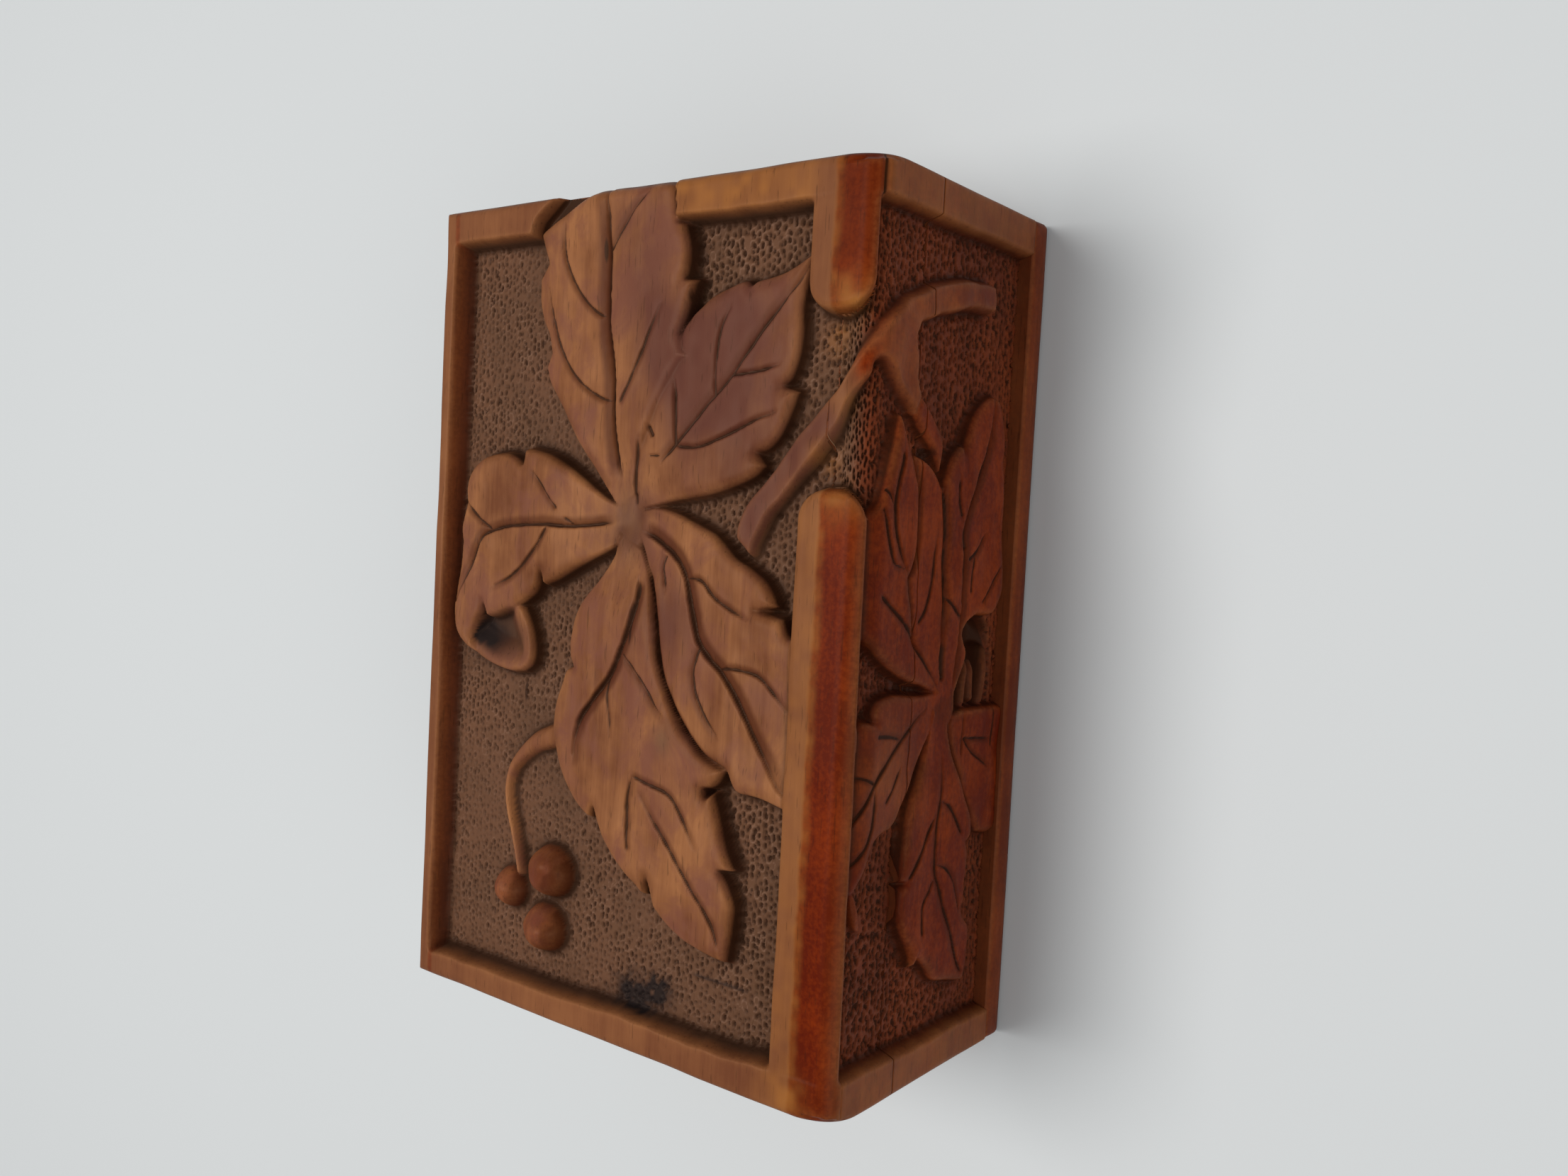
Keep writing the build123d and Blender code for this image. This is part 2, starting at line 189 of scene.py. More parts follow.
# The carved leaf on the top: each lobe's outline in runs that meet at sharp corners, its crest over the
# ground, and how it leans (tip: place, reach and drop). A run goes on from the last point of the one before
# it. Veins: points, half width, depth and width of the sloped side (positive: left of the line).
topLeaf = {
    "hub": (73.8, 40.6), "hubHeight": 1.5, "hubReach": 5.4, "wall": 0.45,
    "lobes": {
        "lowMiddle": {
            "crest": 2.8, "rise": 13, "roll": 0.56, "rollWidth": 1.8, "tip": ((47, 10), 14, 0.5),
            "runs": (((72, 38.4), (66, 35.2), (62, 34), (58, 33.3), (55, 32.7), (52, 31.7), (49.5, 30), (47, 28.2),
                (45, 26.4), (43.2, 24), (42, 20.2)), ((39.4, 18.5), (39.2, 16.5), (39, 14.5), (38, 9)), ((50, 8.8),
                (60, 9)), ((60.3, 11.4), (62.4, 12.6)), ((63.3, 16.9),), ((64, 13.7),), ((65.6, 14.5), (67, 15.7),
                (68.4, 18), (69.6, 20.6), (71, 22.4), (72.6, 24.4), (73.6, 26.8), (74.4, 29.2), (75.2, 31.5),
                (75.8, 35), (75.4, 38)))},
        "lowRight": {
            "crest": 2.5, "rise": 12, "roll": 0.62, "rollWidth": 2.0, "tip": ((109, 11), 12, 0.7),
            "runs": (((75.6, 39), (76.3, 35.6), (77, 32.4), (77.6, 29), (78, 26.4), (78.8, 23.4), (79.8, 20.4),
                (80.8, 18.3), (82, 17.1)), ((83.8, 18.5),), ((84.2, 16.8), (85.4, 15.3), (87.4, 14), (89.6, 13),
                (91.4, 12.4)), ((92.1, 14.9),), ((93.4, 13.4), (96, 12.4), (99, 12.1), (102, 12.4), (104, 12.1),
                (106.5, 11.6), (108.8, 11.1)), ((107.2, 14), (106.2, 17), (105.7, 19.6)), ((105, 20.4),),
                ((105.8, 21.6), (105.2, 24), (104.4, 26.4), (103.2, 28.4), (101, 31), (96, 34), (88, 37.4),
                (80, 40.4)))},
        "right": {
            "crest": 3.0, "rise": 15, "roll": 0.56, "rollWidth": 1.9, "tip": ((120, 45), 20, -0.7),
            "runs": (((75.8, 42.6), (77.4, 44.4), (80, 46.5), (84, 49.7), (88, 52.9), (91, 55.3), (93.4, 57),
                (95.6, 57.7)), ((97.6, 56.7),), ((100.2, 57.4), (102, 58.5), (105, 59.5), (108.4, 59.6)),
                ((110.6, 57.9),), ((112.4, 58.8), (114.8, 59.8)), ((115.6, 59), (116.4, 57.4), (117.6, 54.6),
                (118.8, 51.8), (120.6, 48.6), (122.5, 46)), ((123, 42), (122, 37), (119.4, 33.6)), ((116, 33.1),
                (114.4, 32.4), (112, 31.5), (110, 31.2), (108, 31.4), (106.7, 32)), ((106.5, 29.8),), ((104, 30.7),
                (101.5, 31.5), (99.6, 32.3)), ((97.4, 31.4), (96.4, 30.3)), ((95.4, 32), (92, 34.2), (88, 36.2),
                (84, 37.6), (78, 38.8)))},
        "upper": {
            "crest": 3.1, "rise": 15, "roll": 0.56, "rollWidth": 1.9, "tip": ((58, 78), 12, -0.2),
            "runs": (((75.6, 42.6), (77.2, 46), (80, 50.5), (82.3, 55), (83.3, 58.6), (83.7, 61.4)), ((81.2, 61.9),),
                ((82.6, 64.6), (82.9, 67.4), (82, 71), (80, 73.4), (77.6, 74.3), (75, 74.3), (71.6, 75),
                (69.2, 74.6)), ((66, 75.2), (62, 75.8), (59, 76.1), (56.5, 75.7), (54.4, 74.4), (53, 72.6),
                (52.5, 70.7)), ((54.8, 71.7), (57, 70.8), (58.8, 69.7), (60.6, 69.5)), ((58.1, 68.4),), ((58.5, 66.8),
                (59.5, 64.5), (60.2, 62.2), (61.5, 59.9), (63.2, 58.1), (66.2, 57.2)), ((63.8, 56.5),), ((64.8, 53.8),
                (66.6, 50.4), (68.6, 46.4), (70.2, 43.2), (71.6, 41.8)))},
        "longLeft": {
            "crest": 3.25, "rise": 15, "roll": 0.53, "rollWidth": 2.0, "tip": ((16, 19), 16, 0.6),
            "runs": (((72, 42.2), (69, 42.8), (66, 44.9), (63, 47.4), (60, 49.3), (56.6, 50.1), (53.8, 49.9)),
                ((52.4, 49),), ((52, 50.4), (50, 51.2), (46.5, 52.4), (43, 52.7), (40, 51.9), (37, 50.6), (34, 48.4),
                (32.2, 46.6), (31.2, 44.8)), ((33.4, 44.2),), ((31.2, 43.2),), ((28.5, 41.4), (26, 39.2), (24.6, 37),
                (23.4, 35), (22.4, 33.6)), ((25.2, 33.1),), ((21.2, 31.8),), ((19.4, 29.6), (18, 27.2), (17.2, 24.6),
                (16.6, 21.6), (16.3, 19.2)), ((18.4, 18.8), (21, 18.4), (24, 18.3), (26.4, 19.4), (28.5, 21)),
                ((28.8, 18.4),), ((31, 19.7), (34, 20.9), (36.6, 21.8), (38.4, 22.4)), ((37.5, 23.6), (38.9, 24.2)),
                ((39.6, 22), (41.8, 20.4)), ((43, 24.4), (45, 27), (47, 28.7), (49.5, 30.5), (52, 32.1), (55, 33.1),
                (58, 33.7), (62, 34.4), (66, 35.5), (70, 38)))},
        "curl": {
            "crest": 2.4, "rise": 6, "roll": 0.3, "rollWidth": 0.9, "tip": ((52, 60), 8, -0.2),
            "bowl": (((52.8, 72.6), (51, 68), (50.4, 64), (50.9, 60), (53, 58.7), (56, 59.1), (60, 61.2)), 2.2, 5.0),
            "runs": (((53.4, 73.4), (51.4, 69.5), (50.6, 66), (50.3, 63), (50.6, 60.4)), ((51.8, 58.9), (54, 58.4),
                (57, 59.2), (60, 61)), ((60.6, 63), (60, 66), (58.6, 69), (56.5, 71.8), (53.4, 73.4)))},
    },
    "veins": (
        (((80, 42.1), (84, 42.7), (88, 43.2), (90.4, 43.4), (94, 43.6), (98, 44.3), (102, 45), (106, 45.1), (110, 45),
          (114, 45.2), (121, 45.8)), 0.4, 1.0, 2.4),
        (((90.4, 43.6), (91, 46), (92.4, 48.8), (94.6, 51.6), (97, 53.6), (100, 55), (104, 56.4),
          (107, 57.2)), 0.24, 0.4, 1.0),
        (((102.2, 45.4), (103, 47.4), (105, 50), (107.6, 52.2), (110.4, 53.6), (113.4, 54.4),
          (116, 54.4)), 0.24, 0.4, 1.0),
        (((90, 42.4), (93, 40.6), (96.4, 38.9), (100, 37.2), (103.4, 35.4)), 0.22, 0.34, -1.0),
        (((76, 39.3), (80, 39.1), (83, 38.7), (85.6, 38.4)), 0.3, 0.4, -0.8),
        (((111, 45), (114, 42.6), (117, 40), (118.8, 37.8)), 0.2, 0.35, 1.4),
        (((83, 36.5), (83, 34.5)), 0.18, 0.25, 0.5),
        (((85.6, 35.9), (87.3, 36.9)), 0.3, 0.4, 0.7),
        (((82, 34.4), (84.4, 32), (87, 29.4), (90, 26.4), (93, 23), (96, 20.6), (99, 18.2), (102.6, 15),
          (105.4, 12.6), (108, 11.3)), 0.26, 0.42, 1.6),
        (((84.4, 32), (84.2, 30), (84.3, 27.6), (85.2, 24.6), (86.6, 21.2), (88, 17.8),
          (88.8, 15.2)), 0.24, 0.44, 0.9),
        (((84.3, 31.9), (88, 32.1), (91, 32.3), (93.3, 32.7)), 0.24, 0.42, 0.8),
        (((90.6, 25.3), (94, 25.4), (97.6, 25.1), (100.4, 24.4), (102.4, 23.3)), 0.24, 0.42, 0.9),
        (((93.6, 22.7), (93.9, 19.6), (94.3, 17), (94.8, 15)), 0.24, 0.42, 0.9),
        (((66, 37.3), (64, 37.2), (62, 37.5), (60, 38), (58, 38.8), (56, 39.8), (54.4, 40.4), (52, 41.7), (50, 43.3),
          (48, 45), (46, 46.6), (44.4, 47.4), (42, 47.9), (40, 48)), 0.36, 0.8, 1.9),
        (((51.8, 41.6), (49, 41.8), (46, 41.3), (43.6, 41)), 0.2, 0.26, 0.8),
        (((55.6, 39.4), (53.4, 36.8), (51, 34.6), (49, 32.8), (47.6, 31)), 0.25, 0.42, -1.2),
        (((28, 36.6), (32, 37), (35, 37.2), (37, 36.8), (38.7, 36.2)), 0.26, 0.42, -1.1),
        (((38.7, 36.3), (38, 33.4), (37.4, 30.4), (36.4, 28.6), (34, 26.8), (31, 24.4)), 0.25, 0.42, 1.1),
        (((18, 20), (21, 21.4), (24, 23.8), (27, 26.4), (29.6, 28.8), (33, 32), (36, 34.6)), 0.25, 0.42, -1.2),
        (((67.4, 36), (64, 34.6), (60, 33.8), (56, 33.2), (53, 32.3), (50, 30.6), (47.4, 28.7), (45, 26.7),
          (43.2, 24.4), (42, 21)), 0.3, 0.7, 1.2),
        (((72.6, 37.9), (71.6, 35.2), (70.6, 33), (69.6, 31.2), (68.4, 29.8), (66, 28.5), (62, 27.3), (59.6, 26.6),
          (58, 25.7), (56, 23.6), (55, 22), (53.4, 20.4), (51, 18.6), (48.5, 17), (46, 15.6), (43.6, 13.8),
          (41.6, 12.2), (40.4, 10.6)), 0.36, 0.8, 2.2),
        (((57.9, 25.4), (56, 26), (54, 26.4), (52, 26.1), (50.4, 25.3), (48, 23.6), (46.4, 22)), 0.25, 0.42, -1.2),
        (((55.1, 22.2), (55.4, 19.5), (55.2, 17), (54.6, 15.2), (53, 13.2), (51, 11)), 0.25, 0.45, 1.0),
        (((69.6, 32.4), (68, 32.9), (66, 32.4), (64.8, 32.2)), 0.25, 0.4, -1.0),
        (((66.6, 28.6), (66.7, 27), (66.3, 25.5), (64.4, 23.4), (63, 20.6), (62, 17.6)), 0.25, 0.42, 1.0),
        (((73.6, 43.6), (73, 47.5), (72.6, 52), (72.7, 56), (72.4, 60.5), (72, 64.5), (71.2, 67.5), (70.2, 69.6),
          (66.5, 71.8), (62, 74.6), (60, 75.6)), 0.3, 0.55, -1.6),
        (((71.4, 67.6), (73, 70.6), (75.4, 74)), 0.24, 0.42, 1.0),
        (((72.6, 55.6), (70, 57.4), (66.4, 60.8), (64.4, 63.6), (63, 66.6)), 0.25, 0.44, 1.1),
        (((75, 53.8), (77.6, 56.4), (80.3, 59.2)), 0.22, 0.36, 1.0),
        (((72.9, 50.6), (73.9, 52.5)), 0.2, 0.3, 0.5),
    ),
}
topStem = {
    "width": 1.9, "height": 1.8, "tipWidth": 0.8,
    "points": ((42, 52.8), (41, 55.6), (40, 58), (38, 60.6), (35.6, 62.6), (32.6, 63.4), (29.4, 63), (26, 61.8),
        (23, 60.8), (20.2, 60)),
}
# berries: place, half sizes along x and y, height
berries = (((17.2, 62.3), (3.15, 3.15), 3.2), ((12.7, 54.5), (3.6, 4.1), 3.9), ((21.4, 53.5), (3.9, 4.3), 4.2))


# The rims, the front rail with its gap, and the rounded front edge
rails = {
    "cornerArc": 6.0,
    "railRound": 3.0,
    "edgeRound": 1.3,
    "innerRound": 0.6,
    "noseRound": 1.5,
    "overRound": 1.8,
    "leftRim": 4.2,
    "leftFlare": 0.018,
    "rightRim": 5.3,
    "backRim": 2.9,
    "leftStile": 5.6,
    "railInner": 10.6,
    "railEnd": 79.4,
    "stubEnd": 100.9,
    "gapMiddle": 90,
    "railTilt": 0.0062,
    "railDip": 0.03,
    "stubLow": 0.8,
    "noseRadius": 4.2,
    "topSink": 3.5,
    "frontSink": 2.3,
    "rimBreak": (33.5, 61.0),
    "leafOver": (112, 33, 61),
}
arcR = rails["cornerArc"]
arcEnd = arcR - arcR * math.pi / 2
arcZ = boxHeight - arcR


def railLow(x):
    # lower edge of the rail, and of the stub beyond the gap, on the unrolled skin
    return np.where(x < rails["gapMiddle"], rails["railTilt"] * x - rails["railDip"], rails["stubLow"])


def unrolledFront(z):
    # height on the front face as a place on the unrolled skin
    return arcEnd - (arcZ - z)


def skinFrame(v):
    # point and outward direction of the plain block's skin at unrolled place v
    phi = np.clip((arcR - v) / arcR, 0, math.pi / 2)
    y = np.where(v >= arcR, v, arcR - arcR * np.sin(phi))
    z = np.where(v >= arcEnd, boxHeight - arcR + arcR * np.cos(phi), arcZ - (arcEnd - v))
    y = np.where(v < arcEnd, 0.0, y)
    z = np.where(v >= arcR, boxHeight, z)
    return y, z, -np.sin(phi), np.cos(phi), phi


def railProud(phi, r):
    # how far a squarer edge of radius r stands out from the arc, seen from the arc's centre
    inner = arcR - r
    sinP, cosP = np.sin(phi), np.cos(phi)
    along = inner * (sinP + cosP)
    bend = along + np.sqrt(np.maximum(along ** 2 - (2 * inner ** 2 - r * r), 0))
    turn = np.arctan2(inner, arcR)
    flat = arcR / np.maximum(np.where(phi < math.pi / 4, cosP, sinP), 0.5)
    return np.where((phi > turn) & (phi < math.pi / 2 - turn), bend, flat) - arcR


def lobeHeight(x, y, lobe, hub, hubHeight, wall):
    # height of one lobe over the ground, and the distance in from its outline
    s = insideDistance(x, y, outline(*lobe["runs"]))
    fromHub = np.hypot(x - hub[0], y - hub[1])
    height = hubHeight + (lobe["crest"] - hubHeight) * ramp(fromHub, 1.0, lobe["rise"])
    (tipX, tipY), tipReach, tipDrop = lobe["tip"]
    height = height - tipDrop * (1 - ramp(np.hypot(x - tipX, y - tipY), 0, tipReach))
    edge = np.clip(s / lobe["rollWidth"], 0, 1)
    height = height - lobe["roll"] * (1 - edge) ** 2.8 * ramp(fromHub, 4.0, 13.0)
    if "bowl" in lobe:
        rim, drop, reach = lobe["bowl"]
        height = height - drop * ramp(strokeField(x, y, rim, reach + 1)[0], 0.6, reach)
    return height * ramp(s, -wall, wall * 0.1), s


def veinDepth(x, y, veins):
    # depth of the cuts, how near each place is to a cut's line (2/3 at the cut's half width),
    # and the painted shade on the sloped side
    depth, line, slopeShade = [np.zeros(x.shape) for _ in range(3)]
    for points, width, deep, slope in veins:
        d, side, along = strokeField(x, y, points, 4.0)
        d = np.maximum(d + 0.12 * sway(x, y, 0.9, 5), 0)
        fade = ramp(along, -0.02, 0.06) * (1 - 0.6 * ramp(along, 0.75, 1.0))
        width = width * (0.62 + 0.4 * valueNoise(x, y, 3.5, 22))
        core = width * 1.35
        sloped = np.where(side * np.sign(slope) > 0, abs(slope), core)
        cut = np.clip(1 - d / sloped, 0, 1)
        cut = np.where(sloped > core, cut ** 2.2 * 0.75 + np.clip(1 - d / core, 0, 1) * 0.25, cut)
        # painted shade on the sloped side of each cut
        slopeShade = np.maximum(slopeShade, min(1.3 * deep, 1) * fade * np.clip(2.4 - 2.4 * d / sloped, 0, 1))
        depth = np.maximum(depth, deep * fade * cut)
        line = np.maximum(line, (0.5 + 0.5 * fade) * np.clip(1 - d / (3 * width), 0, 1) * (fade > 0.02))
    return depth, line, slopeShade


punch = {"pitch": 0.98, "rowShare": 0.88, "scatter": 0.62, "cells": 160,
         "depth": 0.42, "wide": 0.26, "long": 0.4, "seed": 11}


def punchMarks(x, y, seed):
    # jittered rows of small oval dents, as soft spots with 1 in the middle, and the burrs around them
    pitch, rowShare, scatter, cells = [punch[key] for key in ("pitch", "rowShare", "scatter", "cells")]
    jitter = np.random.RandomState(seed).rand(cells, cells, 6)
    gx, gy = x / pitch, y / (pitch * rowShare)
    out, burr = np.zeros(x.shape), np.zeros(x.shape)
    base = np.floor(gy).astype(int)
    for oy in (-1, 0, 1):
        row = base + oy
        shift = 0.5 * (row % 2)
        col0 = np.floor(gx - shift).astype(int)
        for ox in (-1, 0, 1):
            col = col0 + ox
            j = jitter[row % cells, col % cells]
            cx = (col + shift + 0.5 + scatter * (j[..., 0] - 0.5)) * pitch
            cy = (row + 0.5 + scatter * (j[..., 1] - 0.5)) * pitch * rowShare
            turn = (j[..., 2] - 0.5) * 1.1 + 0.1
            dx, dy = x - cx, y - cy
            u = dx * np.cos(turn) + dy * np.sin(turn)
            w = -dx * np.sin(turn) + dy * np.cos(turn)
            big = 0.72 + 0.56 * j[..., 3]
            d = (u / (punch["long"] * big)) ** 2 + (w / (punch["wide"] * big)) ** 2
            out = np.maximum(out, np.exp(-d) * (0.65 + 0.35 * j[..., 4]) * (j[..., 5] > 0.06))
            burr = np.maximum(burr, np.exp(-((np.sqrt(d) - 1.45) / 0.38) ** 2) * j[..., 4])
    return out, burr * (1 - out)


print("carving tools ready")

# The carved leaf on the front, x and height z
frontLeaf = {
    "hub": (51.4, 21.0), "hubHeight": 1.3, "hubReach": 4.0, "wall": 0.45,
    "lobes": {
        "fragment": {
            "crest": 1.5, "rise": 14, "roll": 0.37, "rollWidth": 1.3, "tip": ((40, 3), 9, 0.3),
            "runs": (((32, 9.4), (35, 12), (38, 13.7), (41, 15.7), (44, 17.5), (47.8, 18.8)), ((49.4, 18),
                (50.1, 15)), ((50, 10), (49.8, 3)), ((32, 3),), ((31.4, 6), (32, 9.4)))},
        "upLeft": {
            "crest": 1.95, "rise": 12, "roll": 0.43, "rollWidth": 1.6, "tip": ((30, 40), 8, 0.2),
            "runs": (((50, 23.4), (44.6, 27), (41, 29.2), (38.8, 30.8), (37.4, 32), (36.1, 33.5)), ((35.8, 35),
                (35.2, 36.4), (33.6, 37.6), (31.6, 38.8), (30, 40), (28.8, 41.4), (28.6, 45)), ((49.4, 45),),
                ((50.2, 41.8), (50.4, 40), (50.2, 38.2)), ((51.4, 38.7), (52.5, 38.2), (53.1, 37), (53.5, 34.5),
                (53.4, 32.4), (53, 29), (52.9, 26), (53, 23)))},
        "tipLeft": {
            "crest": 1.3, "rise": 4, "roll": 0.25, "rollWidth": 0.6, "tip": ((23, 37.6), 4, 0.5),
            "runs": (((23.2, 37.6), (24.2, 39.4), (26, 40.8), (29.2, 41.8)), ((28.6, 40.4), (26.6, 39.4), (25, 38.4),
                (23.2, 37.6)))},
        "longLeft": {
            "crest": 2.15, "rise": 14, "roll": 0.46, "rollWidth": 1.8, "tip": ((11, 11), 11, 0.4),
            "runs": (((50.6, 23.6), (47, 24.8), (44, 25.9), (41, 27.3), (38.8, 28.5), (37.2, 29)), ((34, 29.4),
                (31, 29.8), (28.7, 30.2)), ((28.2, 29), (27.5, 30)), ((25, 30.1), (22.8, 29.7), (21, 28.8),
                (19.4, 27.6), (17.8, 26.7), (16.2, 26.3)), ((17.3, 24.8),), ((15.4, 22.4), (13, 20), (12, 16.4),
                (11, 12.6), (10.7, 11.2)), ((12.5, 10.4), (14.5, 10.2), (17, 10.5), (19, 11.4), (20.5, 13),
                (22, 13.8)), ((23, 12.9), (26, 12.6), (29, 12.8), (31.2, 13.4)), ((32.2, 12.2), (35, 12.7),
                (38, 14.3), (41, 16.3), (44, 18.1), (47, 19.3), (49, 19.8)))},
        "lowRight": {
            "crest": 2.1, "rise": 14, "roll": 0.43, "rollWidth": 1.7, "tip": ((93, 11), 9, 0.4),
            "runs": (((51.6, 21.8), (56, 22.4), (60, 22.8), (66, 23.1), (74, 23.6), (80.4, 24.5), (82, 24.3),
                (84.4, 22.9), (86, 21.1), (86.3, 20.1)), ((85.6, 19.9),), ((88, 19), (90.4, 17.4), (92.4, 15.2),
                (93.7, 12.6), (93.2, 10.6), (91, 9.2), (88, 8.4), (85, 8.5), (80, 8.1), (74, 7.5), (68, 7),
                (65.6, 7.5), (63.6, 9.2), (63.2, 11)), ((63.3, 14), (62.5, 15.4)), ((61.4, 17), (60, 16.8),
                (58.6, 15.8), (57, 15.8), (55, 16.8), (52.4, 18)))},
        "midRight": {
            "crest": 1.7, "rise": 14, "roll": 0.37, "rollWidth": 1.4, "tip": ((83, 28), 9, 0.2),
            "runs": (((52.6, 22.6), (56, 26.4), (59, 28.9), (62, 30.6), (66, 31.9), (68.6, 32.4)), ((70, 31.2),
                (72.4, 30.4), (76, 30.2), (79.6, 30.5), (82, 31), (84.3, 31.8)), ((83.6, 29), (82.2, 26.7),
                (80.4, 25)), ((75, 24), (66, 23.3), (57, 22.6)))},
        "upRight": {
            "crest": 2.1, "rise": 13, "roll": 0.46, "rollWidth": 1.7, "tip": ((89, 36), 8, 0.4),
            "runs": (((53.2, 23), (53.6, 25), (54.4, 27.5), (55, 30.4), (56, 33.4), (57.4, 36.2), (59, 38.8),
                (60.4, 41), (61.8, 45)), ((75.4, 45),), ((76.2, 42.4), (77.4, 40.2), (79.6, 38.9)), ((81, 38.5),
                (84, 37.7), (86.8, 36.7), (89.2, 36)), ((87.6, 34.9), (86, 34), (84, 32.9), (82, 32), (80, 31.2),
                (76, 30.9), (72.4, 31), (70, 31.8), (68.6, 32.8)), ((66, 32.4), (63, 31.4), (60, 30.2)))},
        "twigLeaf": {
            "crest": 1.6, "rise": 6, "roll": 0.37, "rollWidth": 1.1, "tip": ((83, 25), 5, 0.4),
            "runs": (((91.8, 31.5), (90.6, 29.4), (89, 27.2), (87.4, 25.8), (85.4, 25.1), (82.6, 25.3)),
                ((84.6, 26.9), (86.4, 29.2), (88.2, 31.8), (89.6, 33.2)))},
    },
    "veins": (
        (((11.6, 11.6), (14, 13.6), (17, 15.6), (20, 17.5), (23, 19), (26, 20.3), (28, 21.4), (30, 21.8), (34, 21.7),
          (38, 21.4), (44, 21.1)), 0.26, 0.42, 1.4),
        (((20, 24.2), (22, 24.5), (24.4, 24.4), (26, 23), (27.8, 21.5)), 0.24, 0.36, 1.0),
        (((21.8, 15.1), (24, 15.8), (26.6, 17.2), (28.4, 19), (29.5, 21.6)), 0.26, 0.38, -1.0),
        (((28.6, 28.6), (31, 26.4), (33.4, 24.4), (36.4, 22.2)), 0.26, 0.44, 1.0),
        (((32.7, 15.3), (35, 17), (37, 18.8), (38.2, 21.2)), 0.26, 0.42, 1.0),
        (((32, 11.2), (36, 13.1), (39, 14.9), (42, 16.7), (45, 18.2), (47.8, 18.8)), 0.5, 0.9, -0.9),
        (((46.2, 14.8), (44.2, 12.8), (42.4, 9.6), (41.2, 7.4)), 0.26, 0.42, 0.8),
        (((46, 14.6), (45.6, 10), (45.3, 7.4)), 0.24, 0.42, -0.8),
        (((43.6, 15.4), (46, 15.2), (50, 15.1)), 0.24, 0.36, -0.8),
        (((44, 6.7), (47, 6.4), (50, 6.4)), 0.24, 0.3, 0.6),
        (((36.4, 42.7), (38.4, 41.4), (40.4, 39.6), (42.6, 37.8), (44.6, 35.8), (46.8, 33.2), (48.4, 31), (50, 28.4),
          (51, 26.2)), 0.26, 0.44, 1.2),
        (((32.3, 42.5), (33, 41), (34.5, 39.4), (36.5, 38.2), (39, 37.7), (41, 37.7), (42.5, 38)), 0.25, 0.38, 1.0),
        (((42.6, 38.1), (43.4, 40), (43.8, 42.6)), 0.24, 0.36, 0.8),
        (((39.6, 35.2), (41.6, 33.5), (44, 32)), 0.22, 0.3, 0.8),
        (((48.6, 38), (48.3, 35), (47.7, 32.4)), 0.24, 0.38, 1.0),
        (((66.6, 39.2), (64.4, 35.8), (62.2, 32.6), (60.8, 31), (57, 26.6), (54.4, 23.6)), 0.26, 0.44, -1.0),
        (((77.6, 39.4), (74.5, 38.4), (71.6, 37.2), (70.4, 36.2), (70, 34.8), (69.6, 33.4)), 0.24, 0.4, -0.9),
        (((84.8, 35.4), (83, 35.7), (80, 36.4), (77.4, 36.8), (74.6, 36.5), (72, 35), (69.8, 33.6)), 0.3, 0.5, -1.2),
        (((79.7, 38.8), (79, 38), (78, 37.4)), 0.24, 0.4, 0.8),
        (((60, 30.4), (63, 31.3), (66, 32.3), (68.6, 32.6), (70, 31.3), (72.4, 30.5), (76, 30.3), (79.6, 30.6),
          (82, 31.2), (84, 32)), 0.3, 0.5, -0.9),
        (((62.4, 29.4), (64.4, 27.6), (67, 26.5), (70, 26), (73.6, 25.8)), 0.25, 0.38, 1.0),
        (((80.4, 24.7), (75, 23.7), (66, 23.2), (60, 23)), 0.24, 0.4, 0.8),
        (((53.4, 18.5), (57, 18.4), (60, 18.4), (64, 18.6), (68, 18.8), (71.6, 19), (74, 19.2), (76, 19), (79, 18),
          (82, 16.4), (85, 14.6), (88, 13.4), (91, 12.6), (93.4, 12.2)), 0.34, 0.62, -1.7),
        (((63.2, 18.8), (64.4, 20.6), (65.6, 22.6), (66.2, 23.2)), 0.25, 0.44, 0.8),
        (((76.8, 20), (79, 21), (82.4, 21.3)), 0.24, 0.36, 1.0),
        (((71, 17.9), (72.4, 15.4), (74.6, 13)), 0.26, 0.42, -1.0),
        (((65, 13.2), (67.4, 10.8), (70.4, 7.8)), 0.24, 0.38, -0.8),
        (((66.4, 16.3), (69, 16.5), (72, 16.2)), 0.2, 0.3, 0.7),
        (((54.6, 21.9), (57, 22.6), (60, 22.9)), 0.5, 0.8, -0.8),
        (((72.4, 18.9), (74, 19.3), (75.8, 19.1)), 0.5, 0.8, 0.6),
    ),
}


def frontPlaces(points):
    return tuple((x, unrolledFront(z)) for x, z in points)


# the branch over the edge and its fork, as one outline on the unrolled skin
branch = {
    "runs": (
        ((72.4, 20.9), (74.4, 20.8), (77, 19.5), (80, 17), (83, 14.5), (86, 12), (89, 9), (91.8, 6.4), (95, 3.4),
         (97.7, 1.2))
        + frontPlaces(((99.4, 41.6), (101.8, 38.6), (103.9, 35.6), (105.7, 31.4), (107.2, 27), (108.4, 22), (109.1, 17),
                       (109.2, 14))),
        frontPlaces(((107, 13.6), (104.7, 13.9))),
        frontPlaces(((104.7, 16), (104.5, 19), (103.9, 23), (102.8, 27), (102, 30), (101, 32.4), (99.4, 33.4))),
        frontPlaces(((96.4, 32.6), (94.2, 32.3), (91.8, 31.2))),
        frontPlaces(((89.4, 33),)),
        frontPlaces(((90.6, 34.4), (92.6, 36.8), (94.4, 38.8), (95.4, 40.4), (95, 41.7)))
        + ((93.6, 0.2), (92.6, 1.2), (90, 3.4), (87.6, 5), (85, 7.2), (82, 9.8), (79, 12.6), (76, 15.2), (73, 16.9),
           (70.4, 18)),
        ((70.2, 18.8), (71.2, 19.8), (72.4, 20.9)),
    ),
    "edge": 0.9, "height": 2.1, "forkDrop": 0.6,
}
